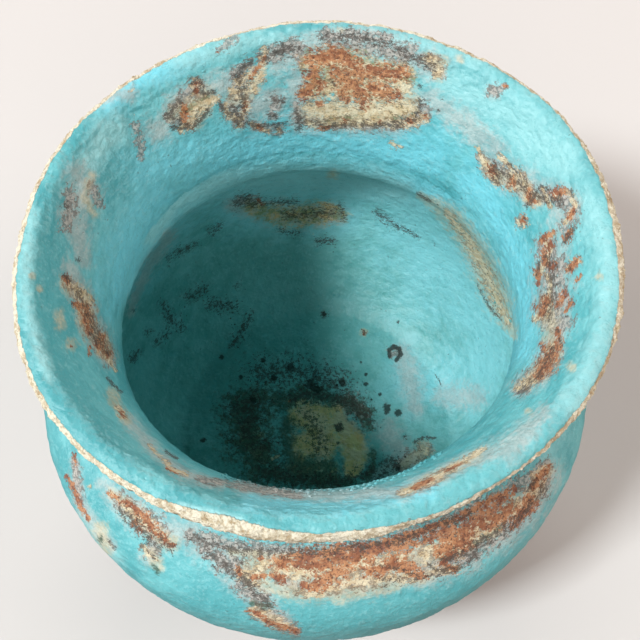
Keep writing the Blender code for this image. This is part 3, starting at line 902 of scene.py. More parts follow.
outsideMarks = {
    "lichen": {
        "left patch": [(120, 500, 8), (140, 516, 12), (160, 534, 12), (150, 552, 8)],
        "front left": [(206, 548, 9), (222, 560, 11), (244, 572, 10), (238, 588, 6), (262, 600, 8)],
        "front": [(270, 566, 10), (300, 590, 8), (340, 586, 8), (380, 578, 10), (400, 560, 10)],
        "front right": [(424, 560, 14), (446, 566, 12), (474, 548, 14), (500, 530, 12), (520, 510, 12)],
        "right": [(536, 490, 12), (546, 472, 8)],
        "low patch": [(260, 612, 8), (276, 618, 9), (296, 632, 6)],
        "left streak": [(74, 460, 4), (78, 500, 5)],
        # under lip: partly crust, partly painted shade under the overhanging lip
        "under lip": [
            (190, 536, 8), (240, 549, 9), (300, 553, 9), (360, 549, 9), (420, 535, 10), (480, 508, 9),
        ],
        "under lip right": [(480, 508, 9), (520, 484, 8), (548, 462, 5)],
    },
    "speck": {
        "front left": [(214, 556, 14), (240, 566, 12)],
        "front": [(400, 566, 12), (440, 560, 12), (480, 544, 12)],
        "low patch": [(264, 604, 10)],
    },
    "mould": {
        "left dots": [(152, 566, 3), (158, 574, 3)],
        "right band": [(440, 556, 5), (470, 546, 4), (500, 528, 3)],
        "low edge": [(270, 608, 4), (252, 604, 3)],
        "left body": [(100, 540, 4)],
    },
    "tan": {
        "hem": [(250, 580, 8), (290, 592, 10), (340, 594, 10), (390, 584, 10), (430, 574, 8)],
        "band": [
            (250, 566, 10), (300, 572, 14), (350, 572, 14), (400, 562, 13), (440, 552, 12), (490, 528, 12),
        ],
        "right": [(508, 512, 9), (534, 494, 8), (548, 470, 6)],
        "under lip": [(230, 553, 4), (300, 558, 4)],
        "left patch": [(112, 494, 6), (140, 520, 10), (170, 544, 9)],
        "left lower": [(150, 556, 7), (160, 568, 5)],
        "low patch": [(256, 612, 6), (280, 624, 7)],
        "left body": [(100, 530, 8), (106, 552, 6)],
    },
    "rust": {
        "under lip": [(320, 553, 6), (380, 545, 6), (420, 533, 6), (460, 518, 6), (500, 496, 5)],
        "left streak top": [(73, 452, 2), (75, 466, 2)],
        "left streak": [(65, 476, 2), (70, 484, 3), (76, 500, 3), (87, 519, 3)],
        "left patch": [
            (108, 493, 3), (128, 505, 4), (144, 516, 5), (154, 530, 6), (166, 542, 4), (178, 546, 2),
        ],
        "left patch heart": [(134, 522, 5), (140, 530, 4)],
        "front left": [(238, 569, 4), (240, 576, 2)],
        "front left spots": [(253, 577, 4), (270, 575, 3), (283, 580, 5)],
        "front left top": [(260, 559, 3)],
        "front band": [(276, 564, 7), (298, 560, 11), (318, 562, 15), (340, 560, 16), (364, 556, 13)],
        "front band low": [(304, 586, 5), (318, 587, 8), (328, 578, 10), (344, 571, 10)],
        "front band right": [(366, 572, 6), (382, 570, 8), (394, 564, 9), (406, 566, 9), (418, 570, 6)],
        "front band top": [(370, 550, 7), (388, 547, 8), (402, 548, 7), (418, 542, 6)],
        "right arch": [(427, 540, 5), (440, 534, 6), (454, 529, 6)],
        "right mass": [(446, 540, 11), (466, 530, 13), (464, 542, 12), (450, 548, 10), (438, 552, 7)],
        "right mass low": [(452, 556, 6), (442, 563, 4), (456, 570, 4)],
        "right rise": [(474, 522, 10), (486, 514, 10), (496, 505, 8), (514, 490, 5)],
        "right rise low": [(484, 524, 10), (500, 519, 10), (510, 509, 8)],
        "right tail": [(518, 517, 5), (525, 508, 7), (530, 498, 6), (537, 505, 5), (512, 529, 3)],
        "right end": [(534, 488, 5), (544, 474, 5), (550, 466, 3)],
        "low patch": [(247, 612, 3), (258, 614, 4), (267, 623, 4), (284, 629, 4), (298, 633, 3)],
        "right low specks": [(404, 570, 4), (416, 577, 3), (428, 578, 3)],
    },
    "cream": {
        "front pale": [(262, 566, 6), (290, 560, 5)],
        "left streak": [(88, 486, 3)],
        "left patch": [(110, 492, 3), (130, 512, 5), (150, 526, 6), (168, 542, 4)],
        "left lower": [(142, 548, 4), (156, 562, 3)],
        "front left": [(240, 572, 7), (258, 580, 8), (262, 564, 8)],
        "front band": [(276, 568, 10), (304, 572, 14), (336, 570, 15), (368, 564, 13), (400, 562, 13)],
        "front hem": [(306, 594, 6), (330, 588, 6), (360, 582, 6), (388, 580, 6), (414, 578, 5)],
        "front right": [(428, 552, 13), (450, 548, 14), (474, 532, 13), (496, 520, 10)],
        "front right low": [(436, 572, 7), (458, 568, 6)],
        "right tail": [(516, 508, 9), (530, 498, 9), (540, 484, 7)],
        "right grey": [(536, 476, 6), (548, 466, 4)],
        "low patch": [(254, 613, 6), (272, 621, 7), (290, 630, 5)],
    },
    "haze": {
        "left streak": [(74, 462, 5), (78, 500, 6), (96, 530, 7), (112, 546, 6)],
        "left patch": [(104, 486, 9), (134, 514, 14), (166, 534, 14), (190, 530, 14)],
        "left lower": [(150, 556, 10)],
        "front left": [(200, 545, 14), (225, 556, 18), (244, 580, 14), (262, 600, 12)],
        "front": [(290, 580, 16), (340, 586, 12), (390, 578, 12), (430, 572, 14), (470, 556, 16)],
        "right": [(500, 538, 16), (520, 518, 18), (540, 496, 16), (552, 474, 12)],
        "band": [(292, 566, 8), (330, 574, 9), (384, 566, 9), (430, 552, 8), (478, 532, 8)],
        "low patch": [(262, 606, 12), (282, 622, 10)],
        "under lip": [(250, 552, 8), (300, 558, 5)],
    },
    "spots": {
        "front left": [(206, 552, 8), (226, 566, 9), (246, 582, 8), (262, 600, 7)],
        "front": [(384, 582, 6), (420, 576, 7)],
        "front right": [(440, 562, 7), (470, 552, 9), (496, 536, 8), (524, 514, 7), (544, 488, 7)],
        # under lip: partly dark specks, partly painted shade under the overhanging lip
        "under lip": [
            (190, 538, 6), (230, 549, 7), (300, 553, 7), (330, 551, 7), (400, 541, 7), (470, 514, 7),
        ],
        "left patch": [(120, 508, 8), (150, 540, 9), (170, 548, 7)],
    },
    "dark": {
        "left patch": [(132, 520, 2), (136, 530, 2)],
        "left specks": [(108, 540, 2), (114, 549, 2.5)],
        "left lower": [(140, 545, 2), (150, 554, 2), (156, 562, 2)],
        "front left": [(206, 548, 2), (214, 560, 2)],
        "front left low": [(236, 560, 2), (244, 566, 2)],
        "front specks": [(262, 596, 2), (268, 604, 3)],
        "front right": [(382, 566, 2), (394, 568, 2), (404, 570, 2)],
        "right specks": [(428, 564, 2), (439, 572, 2), (468, 564, 2), (483, 537, 2.5), (490, 540, 2)],
        "right lone": [(500, 548, 2)],
        "right low": [(470, 558, 2), (480, 555, 2), (455, 572, 2.5), (424, 578, 2.5)],
        "right tail": [(547, 490, 2), (550, 486, 1.6), (510, 532, 2)],
        "low patch": [(262, 610, 2), (272, 606, 2)],
        "right edge": [(536, 480, 2.5), (528, 492, 2)],
    },
    # painted shade: these strokes darken the neck under the lip's overhang and the lower belly
    "deep": {
        "under lip": [(120, 486, 6), (170, 520, 6), (230, 544, 5), (300, 550, 5)],
        "front low": [(200, 600, 26), (300, 625, 26), (380, 615, 26)],
        "right low": [(420, 606, 20), (500, 570, 14), (550, 500, 10)],
    },
    # painted light: these strokes lighten the lit left of the belly
    "pale": {
        "left low": [(80, 520, 10), (110, 560, 12)],
    },
}
# Marks out of the photograph's sight, as strokes of (bearing in degrees, height in mm, radius in mm)
hiddenMarks = {
    "rust": {
        "back band": [(62, 88, 2), (72, 84, 4), (84, 82, 5), (95, 85, 4), (104, 90, 2)],
        "back low": [(82, 66, 2), (88, 60, 3), (96, 58, 2)],
        "back left": [(128, 76, 3), (134, 70, 4), (142, 66, 2)],
        "right side": [(8, 72, 3), (14, 64, 4), (20, 58, 2)],
        "right throat": [(-22, 84, 3), (-12, 86, 3), (-4, 84, 2)],
        "left side": [(186, 52, 2), (192, 46, 3), (200, 44, 2)],
        "foot right": [(30, 22, 2), (38, 20, 3)],
        "foot left": [(152, 24, 2), (160, 20, 3), (168, 22, 2)],
        "foot front": [(262, 20, 2), (274, 18, 3), (284, 20, 2)],
        "back speck": [(112, 40, 2)],
    },
    "cream": {
        "back band": [(60, 86, 4), (74, 82, 7), (86, 80, 8), (98, 84, 6), (106, 90, 3)],
        "back low": [(84, 64, 4), (92, 58, 5)],
        "back left": [(126, 76, 5), (136, 69, 6), (144, 65, 3)],
        "right side": [(8, 72, 5), (15, 62, 6), (21, 57, 3)],
        "right throat": [(-22, 84, 4), (-10, 86, 5)],
        "left side": [(188, 50, 4), (196, 45, 5)],
        "foot right": [(28, 21, 4), (40, 19, 4)],
        "foot left": [(150, 22, 4), (164, 20, 5)],
        "foot front": [(260, 19, 4), (276, 17, 5)],
    },
    "haze": {
        "back band": [(56, 86, 7), (76, 80, 12), (96, 82, 12), (110, 88, 6)],
        "back low": [(84, 62, 8), (96, 56, 7)],
        "back left": [(124, 76, 8), (138, 67, 10)],
        "right side": [(6, 72, 8), (18, 60, 9)],
        "left side": [(186, 50, 7), (200, 44, 7)],
        "foot": [(20, 18, 8), (44, 18, 8)],
        "foot left": [(148, 20, 8), (168, 18, 8)],
        "foot front": [(256, 18, 8), (284, 17, 8)],
    },
    "spots": {
        "back band": [(60, 84, 5), (74, 79, 7), (90, 78, 7), (104, 85, 5)],
        "back left": [(130, 70, 5), (142, 65, 5)],
        "right side": [(10, 68, 5), (18, 58, 5)],
        "left side": [(188, 48, 4), (196, 43, 4)],
    },
    "dark": {
        **apart("speck", (108, 60, 1.5), (74, 44, 1.2), (176, 66, 1.5), (28, 50, 1.5)),
        **apart("foot speck", (34, 26, 2), (156, 28, 2), (270, 24, 2)),
    },
    # painted shade: these strokes darken the neck under the flared collar
    "deep": {
        "back throat": [(40, 92, 7), (120, 92, 7), (170, 90, 7)],
        "right throat": [(-30, 90, 6), (10, 92, 6)],
    },
    "pale": {
        "back belly": [(50, 60, 12), (110, 52, 12), (160, 62, 12), (0, 46, 12)],
    },
}
markKinds = (
    "rust", "cream", "tan", "ochre", "silt", "mould", "haze", "lichen", "dark", "spots", "hole", "speck",
    "bead", "deep", "pale", "painted_light",
)


unmarked = -2.0
unrolledRadius = 65  # strokes out of sight lie on the jar as if unrolled at this radius in mm


def strokeCover(x, y, strokes):
    # 1 along the middle of a stroke, 0 at its border, less outside
    cover = np.full(len(x), unmarked)
    for stroke in strokes:
        for (x0, y0, r0), (x1, y1, r1) in zip(stroke, stroke[1:] or stroke):
            long = (x1 - x0)**2 + (y1 - y0)**2 or 1.0
            share = np.clip(((x - x0) * (x1 - x0) + (y - y0) * (y1 - y0)) / long, 0, 1)
            gap = np.hypot(x - x0 - share * (x1 - x0), y - y0 - share * (y1 - y0))
            cover = np.maximum(cover, 1 - gap / (r0 + share * (r1 - r0)))
    return cover


def vertexArrays(mesh):
    points = np.empty(len(mesh.vertices) * 3, np.float32)
    mesh.vertices.foreach_get("co", points)
    normals = np.empty(len(mesh.vertices) * 3, np.float32)
    mesh.vertex_normals.foreach_get("vector", normals)
    return points.reshape(-1, 3).astype(float), normals.reshape(-1, 3).astype(float)


def paintMarks(mesh, seen, hidden, inner):
    points, normals = vertexArrays(mesh)
    x, y = toPixels(points)
    # the near wall's inside turns its back, and must not take the floor's marks
    facing = ((eye - points) * normals).sum(axis=1) > 0 if inner else np.full(len(points), True)
    bearing = np.degrees(np.arctan2(points[:, 1], points[:, 0]))
    for kind in markKinds:
        cover = np.where(facing, strokeCover(x, y, seen.get(kind, {}).values()), unmarked)
        for stroke in hidden.get(kind, {}).values():
            middle = stroke[0][0]
            away = np.radians((bearing - middle + 180) % 360 - 180) * unrolledRadius
            flat = [(radians(b - middle) * unrolledRadius, z, r) for b, z, r in stroke]
            cover = np.maximum(cover, strokeCover(away, points[:, 2] * 1000, [flat]))
        store(mesh, kind, np.clip(cover, unmarked, 1.0))


def paintInside(mesh, inner, above=0.004, fade=0.016):
    # 1 down in the chamber, 0 on the collar and outside; it lays on the inside tones, a painted tint of the
    # warm light bouncing in the chamber
    points, _ = vertexArrays(mesh)
    store(mesh, "inside", eased((throatLevel + above - points[:, 2]) / fade) * inner)


def together(*parts):
    # the strokes of several sets, kind by kind
    return {
        kind: {
            (number, name): stroke
            for number, part in enumerate(parts)
            for name, stroke in part.get(kind, {}).items()
        }
        for kind in markKinds
    }


# Finishes
paint = {
    "turquoise": (0.135, 0.490, 0.540),
    # deepTurquoise and insideDeep make the glaze's own deeper mottle, and also the painted shade of the deep
    # marks
    "deepTurquoise": (0.072, 0.370, 0.420),
    # paleTurquoise makes the rubbed glaze, and also the painted light of the pale marks
    "paleTurquoise": (0.300, 0.650, 0.690),
    # brightTurquoise and insideBright are painted light, laid on by the bright marks
    "brightTurquoise": (0.185, 0.650, 0.780),
    # painted light: the inside tones tint the chamber's glaze with the warm light that bounces in it
    "insideTurquoise": (0.175, 0.500, 0.500),
    "insideDeep": (0.105, 0.385, 0.375),
    "insideBright": (0.250, 0.680, 0.750),
    # the silt colours: a real floor stain, painted lighter to stand in for the light falling on it
    "siltOlive": (0.960, 0.580, 0.230),
    "siltPale": (1.000, 0.640, 0.390),
    "haze": (0.350, 0.430, 0.430),
    "hazeLight": (0.490, 0.540, 0.530),
    "crust": (0.500, 0.440, 0.400),
    "crustDark": (0.170, 0.130, 0.115),
    # painted shade for the crevice along the glaze's torn edges
    "outline": (0.120, 0.075, 0.055),
    "cream": (0.570, 0.460, 0.280),
    "creamPale": (0.700, 0.650, 0.470),
    "tan": (0.450, 0.430, 0.290),
    "tanPale": (0.600, 0.560, 0.400),
    "ochre": (0.230, 0.290, 0.130),
    "ochreLight": (0.620, 0.430, 0.190),
    "mould": (0.040, 0.095, 0.065),
    "mouldLight": (0.110, 0.170, 0.120),
    "rustDark": (0.110, 0.028, 0.015),
    "rust": (0.240, 0.072, 0.030),
    "rustLight": (0.470, 0.215, 0.095),
    "dark": (0.060, 0.050, 0.042),
    "hole": (0.012, 0.020, 0.016),
    "bareClay": (0.530, 0.485, 0.350),
    "bareClayPale": (0.740, 0.735, 0.610),
    "bareClayTan": (0.420, 0.330, 0.200),
    "clay": (0.360, 0.160, 0.080),
    "clayDark": (0.200, 0.085, 0.045),
    "clayPale": (0.520, 0.300, 0.170),
}


def newMaterial(name, viewColour):
    material = bpy.data.materials.new(name)
    material.use_nodes = True
    material.diffuse_color = (*viewColour, 1.0)
    nodes = Nodes(material.node_tree)
    shader = material.node_tree.nodes["Principled BSDF"]
    return material, nodes, shader


def plug(nodes, shader, colour, roughness, height, bumpDepth):
    nodes.tree.links.new(colour.socket, shader.inputs["Base Color"])
    nodes.tree.links.new(roughness.socket, shader.inputs["Roughness"])
    bump = nodes.add("ShaderNodeBump", {}, {"Height": height, "Distance": bumpDepth, "Strength": 1.0})
    nodes.tree.links.new(bump.socket, shader.inputs["Normal"])


def specks(nodes, place, size, shift):
    # round dots, larger and closer where the stroke's cover is high
    pick = nodes.cells(place, size, "Color", shift=shift)
    reach = nodes.attribute("speck") * 0.22 + pick * 0.50 - 0.40
    return nodes.between(reach - nodes.cells(place, size, shift=shift), -0.04, 0.04)


def blended(nodes, tone, low, high, first, second):
    # one paint running into another as the tone rises
    return nodes.mix(nodes.between(tone, low, high), paint[first], paint[second])


def glazeMaterial(name, withBare):
    material, nodes, shader = newMaterial(name, paint["turquoise"])
    place = nodes.millimetres()
    broad = nodes.noise(place, 26.0, 3.0, (4.0, 2.0, 1.0))
    mottle = nodes.noise(place, 6.0, 3.0, (1.0, 8.0, 3.0), wheelStretch)
    pebble = nodes.noise(place, 2.3, 2.0, (4.0, 3.0, 8.0), (1.0, 1.0, 1.5))
    grain = nodes.noise(place, 0.95, 3.0, (2.0, 5.0, 9.0), roughness=0.6)
    dust = nodes.noise(place, 0.42, 2.0, (12.0, 3.0, 5.0))
    ripple = nodes.noise(place, 4.0, 2.0, (7.0, 7.0, 1.0), (1.0, 1.0, 2.2))

    # the turquoise itself, deeper where it ran thick and paler where it is rubbed, greener inside as a
    # painted tint of the chamber's warm bounce light, with painted shade (deep marks) and painted light
    # (bright and pale marks) laid on it
    inside = nodes.attribute("inside")
    plain = nodes.mix(inside, paint["turquoise"], paint["insideTurquoise"])
    deep = nodes.mix(inside, paint["deepTurquoise"], paint["insideDeep"])
    painted_light = nodes.mix(inside, paint["brightTurquoise"], paint["insideBright"])
    depth = nodes.between(broad * 0.6 + mottle * 0.4, 0.42, 0.58)
    colour = nodes.mix(depth, deep, plain)
    # painted shade: the deep marks darken the glaze where shade falls
    colour = nodes.mix(wornMask(nodes, place, "deep") * 0.7, colour, deep)
    # painted light: the bright marks lighten the glaze where light falls
    colour = nodes.mix(wornMask(nodes, place, "painted_light") * 0.85, colour, painted_light)
    # painted light: the pale marks lighten the glaze where light falls, and paint a sheen in the chamber
    colour = nodes.mix(wornMask(nodes, place, "pale") * 0.75, colour, paint["paleTurquoise"])
    rubbed = nodes.between(grain * 0.7 + ripple * 0.3, 0.50, 0.64)
    colour = nodes.mix(rubbed * 0.30, colour, paint["paleTurquoise"])
    sunk = nodes.between(pebble * 0.5 + dust * 0.5, 0.46, 0.34)
    colour = nodes.mix(sunk * 0.40, colour, paint["deepTurquoise"])

    # grey bloom, with a painted sheen on the chamber's lit wall, and crusts in it
    haze = wornMask(nodes, place, "haze")
    hazeColour = blended(nodes, grain * 0.5 + mottle * 0.5, 0.42, 0.58, "haze", "hazeLight")
    colour = nodes.mix(haze * 0.66, colour, hazeColour)
    broken = nodes.between(nodes.noise(place, 1.9, 2.0, (9.0, 9.0, 5.0)), 0.44, 0.56)
    lichen = wornMask(nodes, place, "lichen")
    crust = nodes.noise(place, 1.0, 3.0, (31.0, 7.0, 2.0), roughness=0.65)
    crustColour = blended(nodes, crust, 0.42, 0.55, "crustDark", "crust")
    colour = nodes.mix(lichen * 0.68, colour, crustColour)

    # stains; the sun strokes of tan and silt are painted light where light falls on the floor stain
    tan = wornMask(nodes, place, "tan")
    tanColour = blended(nodes, mottle * 0.5 + grain * 0.5, 0.42, 0.58, "tan", "tanPale")
    colour = nodes.mix(tan * (0.50 + broken * 0.2), colour, tanColour)
    ochre = wornMask(nodes, place, "ochre")
    ochreColour = blended(nodes, mottle * 0.6 + grain * 0.4, 0.42, 0.60, "ochre", "ochreLight")
    colour = nodes.mix(ochre * (0.55 + broken * 0.35), colour, ochreColour)
    silt = wornMask(nodes, place, "silt")
    siltColour = blended(nodes, mottle * 0.6 + grain * 0.4, 0.44, 0.58, "siltOlive", "siltPale")
    colour = nodes.mix(silt * 0.85, colour, siltColour)
    mould = wornMask(nodes, place, "mould")
    mouldColour = blended(nodes, grain * 0.6 + pebble * 0.4, 0.44, 0.60, "mould", "mouldLight")
    colour = nodes.mix(mould * 0.88, colour, mouldColour)

    # clay laid bare, with a thin line of painted shade in the crevice where the glaze breaks off
    cream = wornMask(nodes, place, "cream")
    creamColour = blended(nodes, grain * 0.5 + pebble * 0.5, 0.42, 0.58, "cream", "creamPale")
    colour = nodes.mix(cream * 0.88, colour, creamColour)
    rust = wornMask(nodes, place, "rust")
    rustTone = pebble * 0.3 + grain * 0.3 + mottle * 0.4
    rustColour = blended(nodes, rustTone, 0.43, 0.57, "rust", "rustLight")
    flaked = nodes.between(dust * 0.5 + grain * 0.5, 0.49, 0.40)
    rustColour = nodes.mix(flaked * 0.85, rustColour, paint["rustDark"])
    colour = nodes.mix(rust * 0.92, colour, rustColour)
    worn = nodes.larger(cream, rust)
    # painted shade: a thin dark line along the torn edges of cream and lichen, where the crevice falls into
    # shade
    edge = nodes.larger(cream * (1 - cream), lichen * (1 - lichen)) * (1 - rust)
    colour = nodes.mix(edge * broken * 2.6, colour, paint["outline"])

    # dark spots
    dark = nodes.larger(wornMask(nodes, place, "dark"), wornMask(nodes, place, "spots"))
    pits = nodes.between(dust * 0.6 + grain * 0.4, 0.41, 0.35) * worn
    colour = nodes.mix(nodes.larger(dark * 0.80, pits * 0.55), colour, paint["dark"])
    dots = specks(nodes, place, 1.7, (2.0, 3.0, 4.0))
    dots = nodes.larger(dots, specks(nodes, place, 0.9, (5.0, 1.0, 7.0)))
    holes = nodes.larger(wornMask(nodes, place, "hole"), dots)
    colour = nodes.mix(holes * 0.88, colour, paint["hole"])
    scarce = nodes.between(nodes.noise(place, 9.0, 2.0, (3.0, 9.0, 4.0)), 0.50, 0.60)
    freckles = nodes.between(nodes.cells(place, 3.4, shift=(1.0, 7.0, 2.0)) + (dust - 0.5) * 0.4, 0.10, 0.04)
    colour = nodes.mix(freckles * scarce * 0.5, colour, paint["dark"])

    rough = nodes.larger(nodes.larger(worn, mould), nodes.larger(dark, nodes.larger(lichen, haze * 0.5)))
    height = ripple * 0.15 + pebble * 0.38 + grain * 0.26 + dust * (0.06 + rough * 0.22)
    height = height - dark * 0.06 - holes * 0.12 - edge * 0.16 + (crust - 0.5) * lichen * 0.20
    if withBare:
        bare = wornMask(nodes, place, "bare")
        colour = nodes.mix(bare, colour, bareColour(nodes, place, grain, dust))
        rough = nodes.larger(rough, bare)
        height = height + (grain * 0.34 + dust * 0.16 + pebble * 0.20) * bare
    roughness = 0.46 + (grain - 0.5) * 0.20 + rough * 0.38
    plug(nodes, shader, colour, roughness, height, 0.001)
    return material


def bareColour(nodes, place, grain, dust):
    # pale grains with brown between them, browner on the right of the jar
    parts = nodes.add("ShaderNodeSeparateXYZ", {}, {0: place})
    sideways = nodes.between(parts, -10.0, 70.0)
    clumps = nodes.noise(place, 2.4, 2.0, (5.0, 5.0, 2.0))
    tone = grain * 0.4 + clumps * 0.4 + dust * 0.2 - sideways * 0.03
    colour = blended(nodes, tone, 0.36, 0.46, "bareClayTan", "bareClay")
    return nodes.mix(nodes.between(tone, 0.44, 0.54), colour, paint["bareClayPale"])


def clayMaterial(name):
    material, nodes, shader = newMaterial(name, paint["clay"])
    place = nodes.millimetres()
    broad = nodes.noise(place, 18.0, 3.0)
    grain = nodes.noise(place, 1.2, 3.0, (2.0, 4.0, 6.0), roughness=0.6)
    rings = nodes.noise(place, 12.0, 2.0, (1.0, 1.0, 1.0), (0.4, 0.4, 6.0))
    colour = blended(nodes, broad, 0.38, 0.62, "clayDark", "clay")
    colour = nodes.mix(nodes.between(grain, 0.52, 0.70) * 0.6, colour, paint["clayPale"])
    colour = nodes.mix(nodes.between(rings, 0.5, 0.7) * 0.25, colour, paint["clayPale"])
    grog = nodes.between(nodes.cells(place, 2.2), 0.22, 0.12)
    colour = nodes.mix(grog * 0.6, colour, paint["bareClayPale"])
    height = grain * 0.16 + rings * 0.2
    plug(nodes, shader, colour, 0.86 + (grain - 0.5) * 0.15, height, 0.001)
    return material


# Building the pieces
wheel = wheelTree()
weather = weatherTree()
beads = beadTree()
coatGlaze = glazeMaterial("worn turquoise glaze", False)
lipFinish = glazeMaterial("bare granular lip", True)
firedClay = clayMaterial("fired red clay")
print("trees and finishes built")


# The coats of glaze: lengths in metres, relief in millimetres
coatMake = {"hiddenRows": 16, "tuckDepth": 0.00016, "tuckLength": 0.004, "lap": 0.003}
coatRelief = {
    "Lump Size": 8.0, "Lump Depth": 0.26, "Pebble Size": 2.4, "Pebble Depth": 0.24,
    "Worn Depth": 0.10, "Grit Size": 0.9, "Grit Depth": 0.12,
}
glazeBeads = {"Cover": 0.9, "Spacing": 0.0013, "Least Radius": 0.00025, "Most Radius": 0.00065, "Seed": 4}
floorSeam, throatSeam, lipSeam = heelAt + 0.004, throatAt + 0.001, lipAt - 0.0015
coats = {
    "collar_glaze": {
        "side": -1, "start": throatSeam, "end": lipSeam, "rowGap": 0.00052, "tucks": (True, True),
        "columns": 840, "marks": collarMarks, "node": "inner_glaze",
    },
    "chamber_glaze": {
        "side": -1, "start": floorSeam, "end": throatSeam + coatMake["lap"], "rowGap": 0.00084,
        "tucks": (True, True), "columns": 760, "marks": chamberMarks, "node": "inner_glaze",
    },
    "floor_glaze": {
        "side": -1, "start": 0.0, "end": floorSeam + coatMake["lap"], "rowGap": 0.0007,
        "tucks": (False, True), "columns": 560, "marks": chamberMarks, "node": "inner_glaze",
    },
    "neck_glaze": {
        "side": 1, "start": shoulderAt, "end": lipSeam, "rowGap": 0.0006, "tucks": (True, True),
        "columns": 840, "marks": outsideMarks, "node": "outer_glaze",
    },
    "belly_glaze": {
        "side": 1, "start": heelAt + jar["bareHeel"], "end": shoulderAt + coatMake["lap"], "rowGap": 0.0008,
        "tucks": (False, True), "columns": 840, "marks": outsideMarks, "node": "outer_glaze",
    },
}


def coatOutline(coat):
    side, start, end = coat["side"], coat["start"], coat["end"]
    rows = np.linspace(start, end, int((end - start) / coat["rowGap"]) + 1)
    back = np.linspace(start, end, coatMake["hiddenRows"])
    inset = innerHalf if side < 0 else clayHalf
    half = inset(rows) + jar["jointGap"] + jar["glazeThickness"] - jar["skinDepth"]
    for at, tucked in zip((start, end), coat["tucks"]):
        if tucked:
            half = half - coatMake["tuckDepth"] * (1 - eased(np.abs(rows - at) / coatMake["tuckLength"]))
    face = (*beside(rows, half * side), 1.0, 0.0)
    hidden = (*beside(back, (inset(back) + jar["jointGap"]) * side), 0.0, 0.0)
    upward, downward = (face, hidden) if side < 0 else (hidden, face)
    return outlineOf(upward, tuple(np.flip(part) if np.ndim(part) else part for part in downward))


def strewn(piece, label, cover, values, material, node):
    # the grains are a piece of their own, and the skin that they grew on keeps its shape
    mesh = piece.data.copy()
    store(mesh, "grown", stored(mesh, cover))
    grains = bpy.data.objects.new(label, mesh)
    bpy.context.scene.collection.objects.link(grains)
    grownMesh(grains, beads, {**values, "Material": material})
    grains.data.shade_smooth()
    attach(grains, "root")
    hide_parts(node)
    print("grains:", label, len(grains.data.vertices))


for name, coat in coats.items():
    inner, node = coat["side"] < 0, coat["node"]
    piece = turnedPiece(name, coatOutline(coat), coat["columns"], coatGlaze)
    paintMarks(piece.data, coat["marks"], {} if inner else hiddenMarks, inner)
    paintInside(piece.data, inner)
    store(piece.data, "bare", np.full(len(piece.data.vertices), unmarked))
    grownMesh(piece, weather, {**coatRelief, "Material": coatGlaze})
    piece.data.shade_smooth()
    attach(piece, "root")
    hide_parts(node)
    print("coat:", name, len(piece.data.vertices))
    if name == "collar_glaze":
        strewn(piece, "collar_beads", "bead", glazeBeads, coatGlaze, node)


# The rolled lip: lengths in metres, relief in millimetres
lipMake = {
    "skirt": 0.0055, "tuckDepth": 0.00016, "tuckLength": 0.003, "seatGap": 0.00005, "rowGap": 0.00033,
    "columns": 1080,
}
lipRelief = {
    "Lump Size": 6.0, "Lump Depth": 0.38, "Pebble Size": 2.0, "Pebble Depth": 0.30,
    "Worn Depth": 0.10, "Grit Size": 1.0, "Grit Depth": 0.32,
}
lipGrains = {"Cover": 0.9, "Spacing": 0.0012, "Least Radius": 0.00018, "Most Radius": 0.00036, "Seed": 9}
# Where the lip's bare band begins, as bearing and slope of the surface in degrees, and the slope it ends at
bareFrom = (
    (-180, 66), (-165, 57), (-150, 50), (-135, 42), (-120, 42), (-113, 58), (-105, 78), (-97, 62), (-90, 53),
    (-81, 51), (-75, 40), (-66, 28), (-50, 26), (-45, 36), (-30, 44), (-15, 60), (0, 80), (15, 74), (30, 68),
    (45, 75), (70, 80), (135, 80), (150, 72), (165, 70), (180, 66),
)
bareTo = -22


def lipOutline():
    skirt, rowGap = lipMake["skirt"], lipMake["rowGap"]
    rows = np.arange(lipAt - skirt, lipAt, rowGap)
    swell = jar["lipSwell"] * eased((rows - rows[0]) / (skirt * 0.9))
    tuck = lipMake["tuckDepth"] * (1 - eased((rows - rows[0]) / lipMake["tuckLength"]))
    face = faceOffset + swell - tuck
    turns = np.linspace(-pi / 2, pi / 2, int(pi * lipRadius / rowGap))
    bead = beside(lipAt, np.sin(turns) * lipRadius, np.cos(turns) * lipRadius)
    seat = halfWall + jar["jointGap"] + lipMake["seatGap"]
    back = np.linspace(lipAt - skirt, lipAt - lipSeat, 4)
    groove = beside(lipAt, 0.0, jar["tongueHeight"] - lipSeat)
    across = [*(beside(at, seat) for at in back), groove, *(beside(at, -seat) for at in back[::-1])]
    return outlineOf(
        (*beside(rows, -face), 1.0, -pi / 2),
        (*bead, 1.0, turns),
        (*beside(rows[::-1], face[::-1]), 1.0, pi / 2),
        (*np.array(across).T, 0.0, 0.0),
    )


def paintBare(mesh, soft=14):
    points, _ = vertexArrays(mesh)
    bearing = np.degrees(np.arctan2(points[:, 1], points[:, 0]))
    slope = degrees(jar["lipSlope"]) - np.degrees(stored(mesh, "turn"))
    cover = np.minimum(np.interp(bearing, *zip(*bareFrom)) - slope, slope - bareTo) / soft
    store(mesh, "bare", np.clip(cover, unmarked, 1.0))


lip = turnedPiece("lip_bead", lipOutline(), lipMake["columns"], lipFinish)
paintMarks(lip.data, together(collarMarks, outsideMarks), {}, False)
paintBare(lip.data)
grownMesh(lip, weather, {**lipRelief, "Material": lipFinish})
lip.data.shade_smooth()
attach(lip, "root")
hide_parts("lip_roll")
print("lip:", len(lip.data.vertices))
strewn(lip, "lip_grains", "bare", lipGrains, lipFinish, "lip_roll")


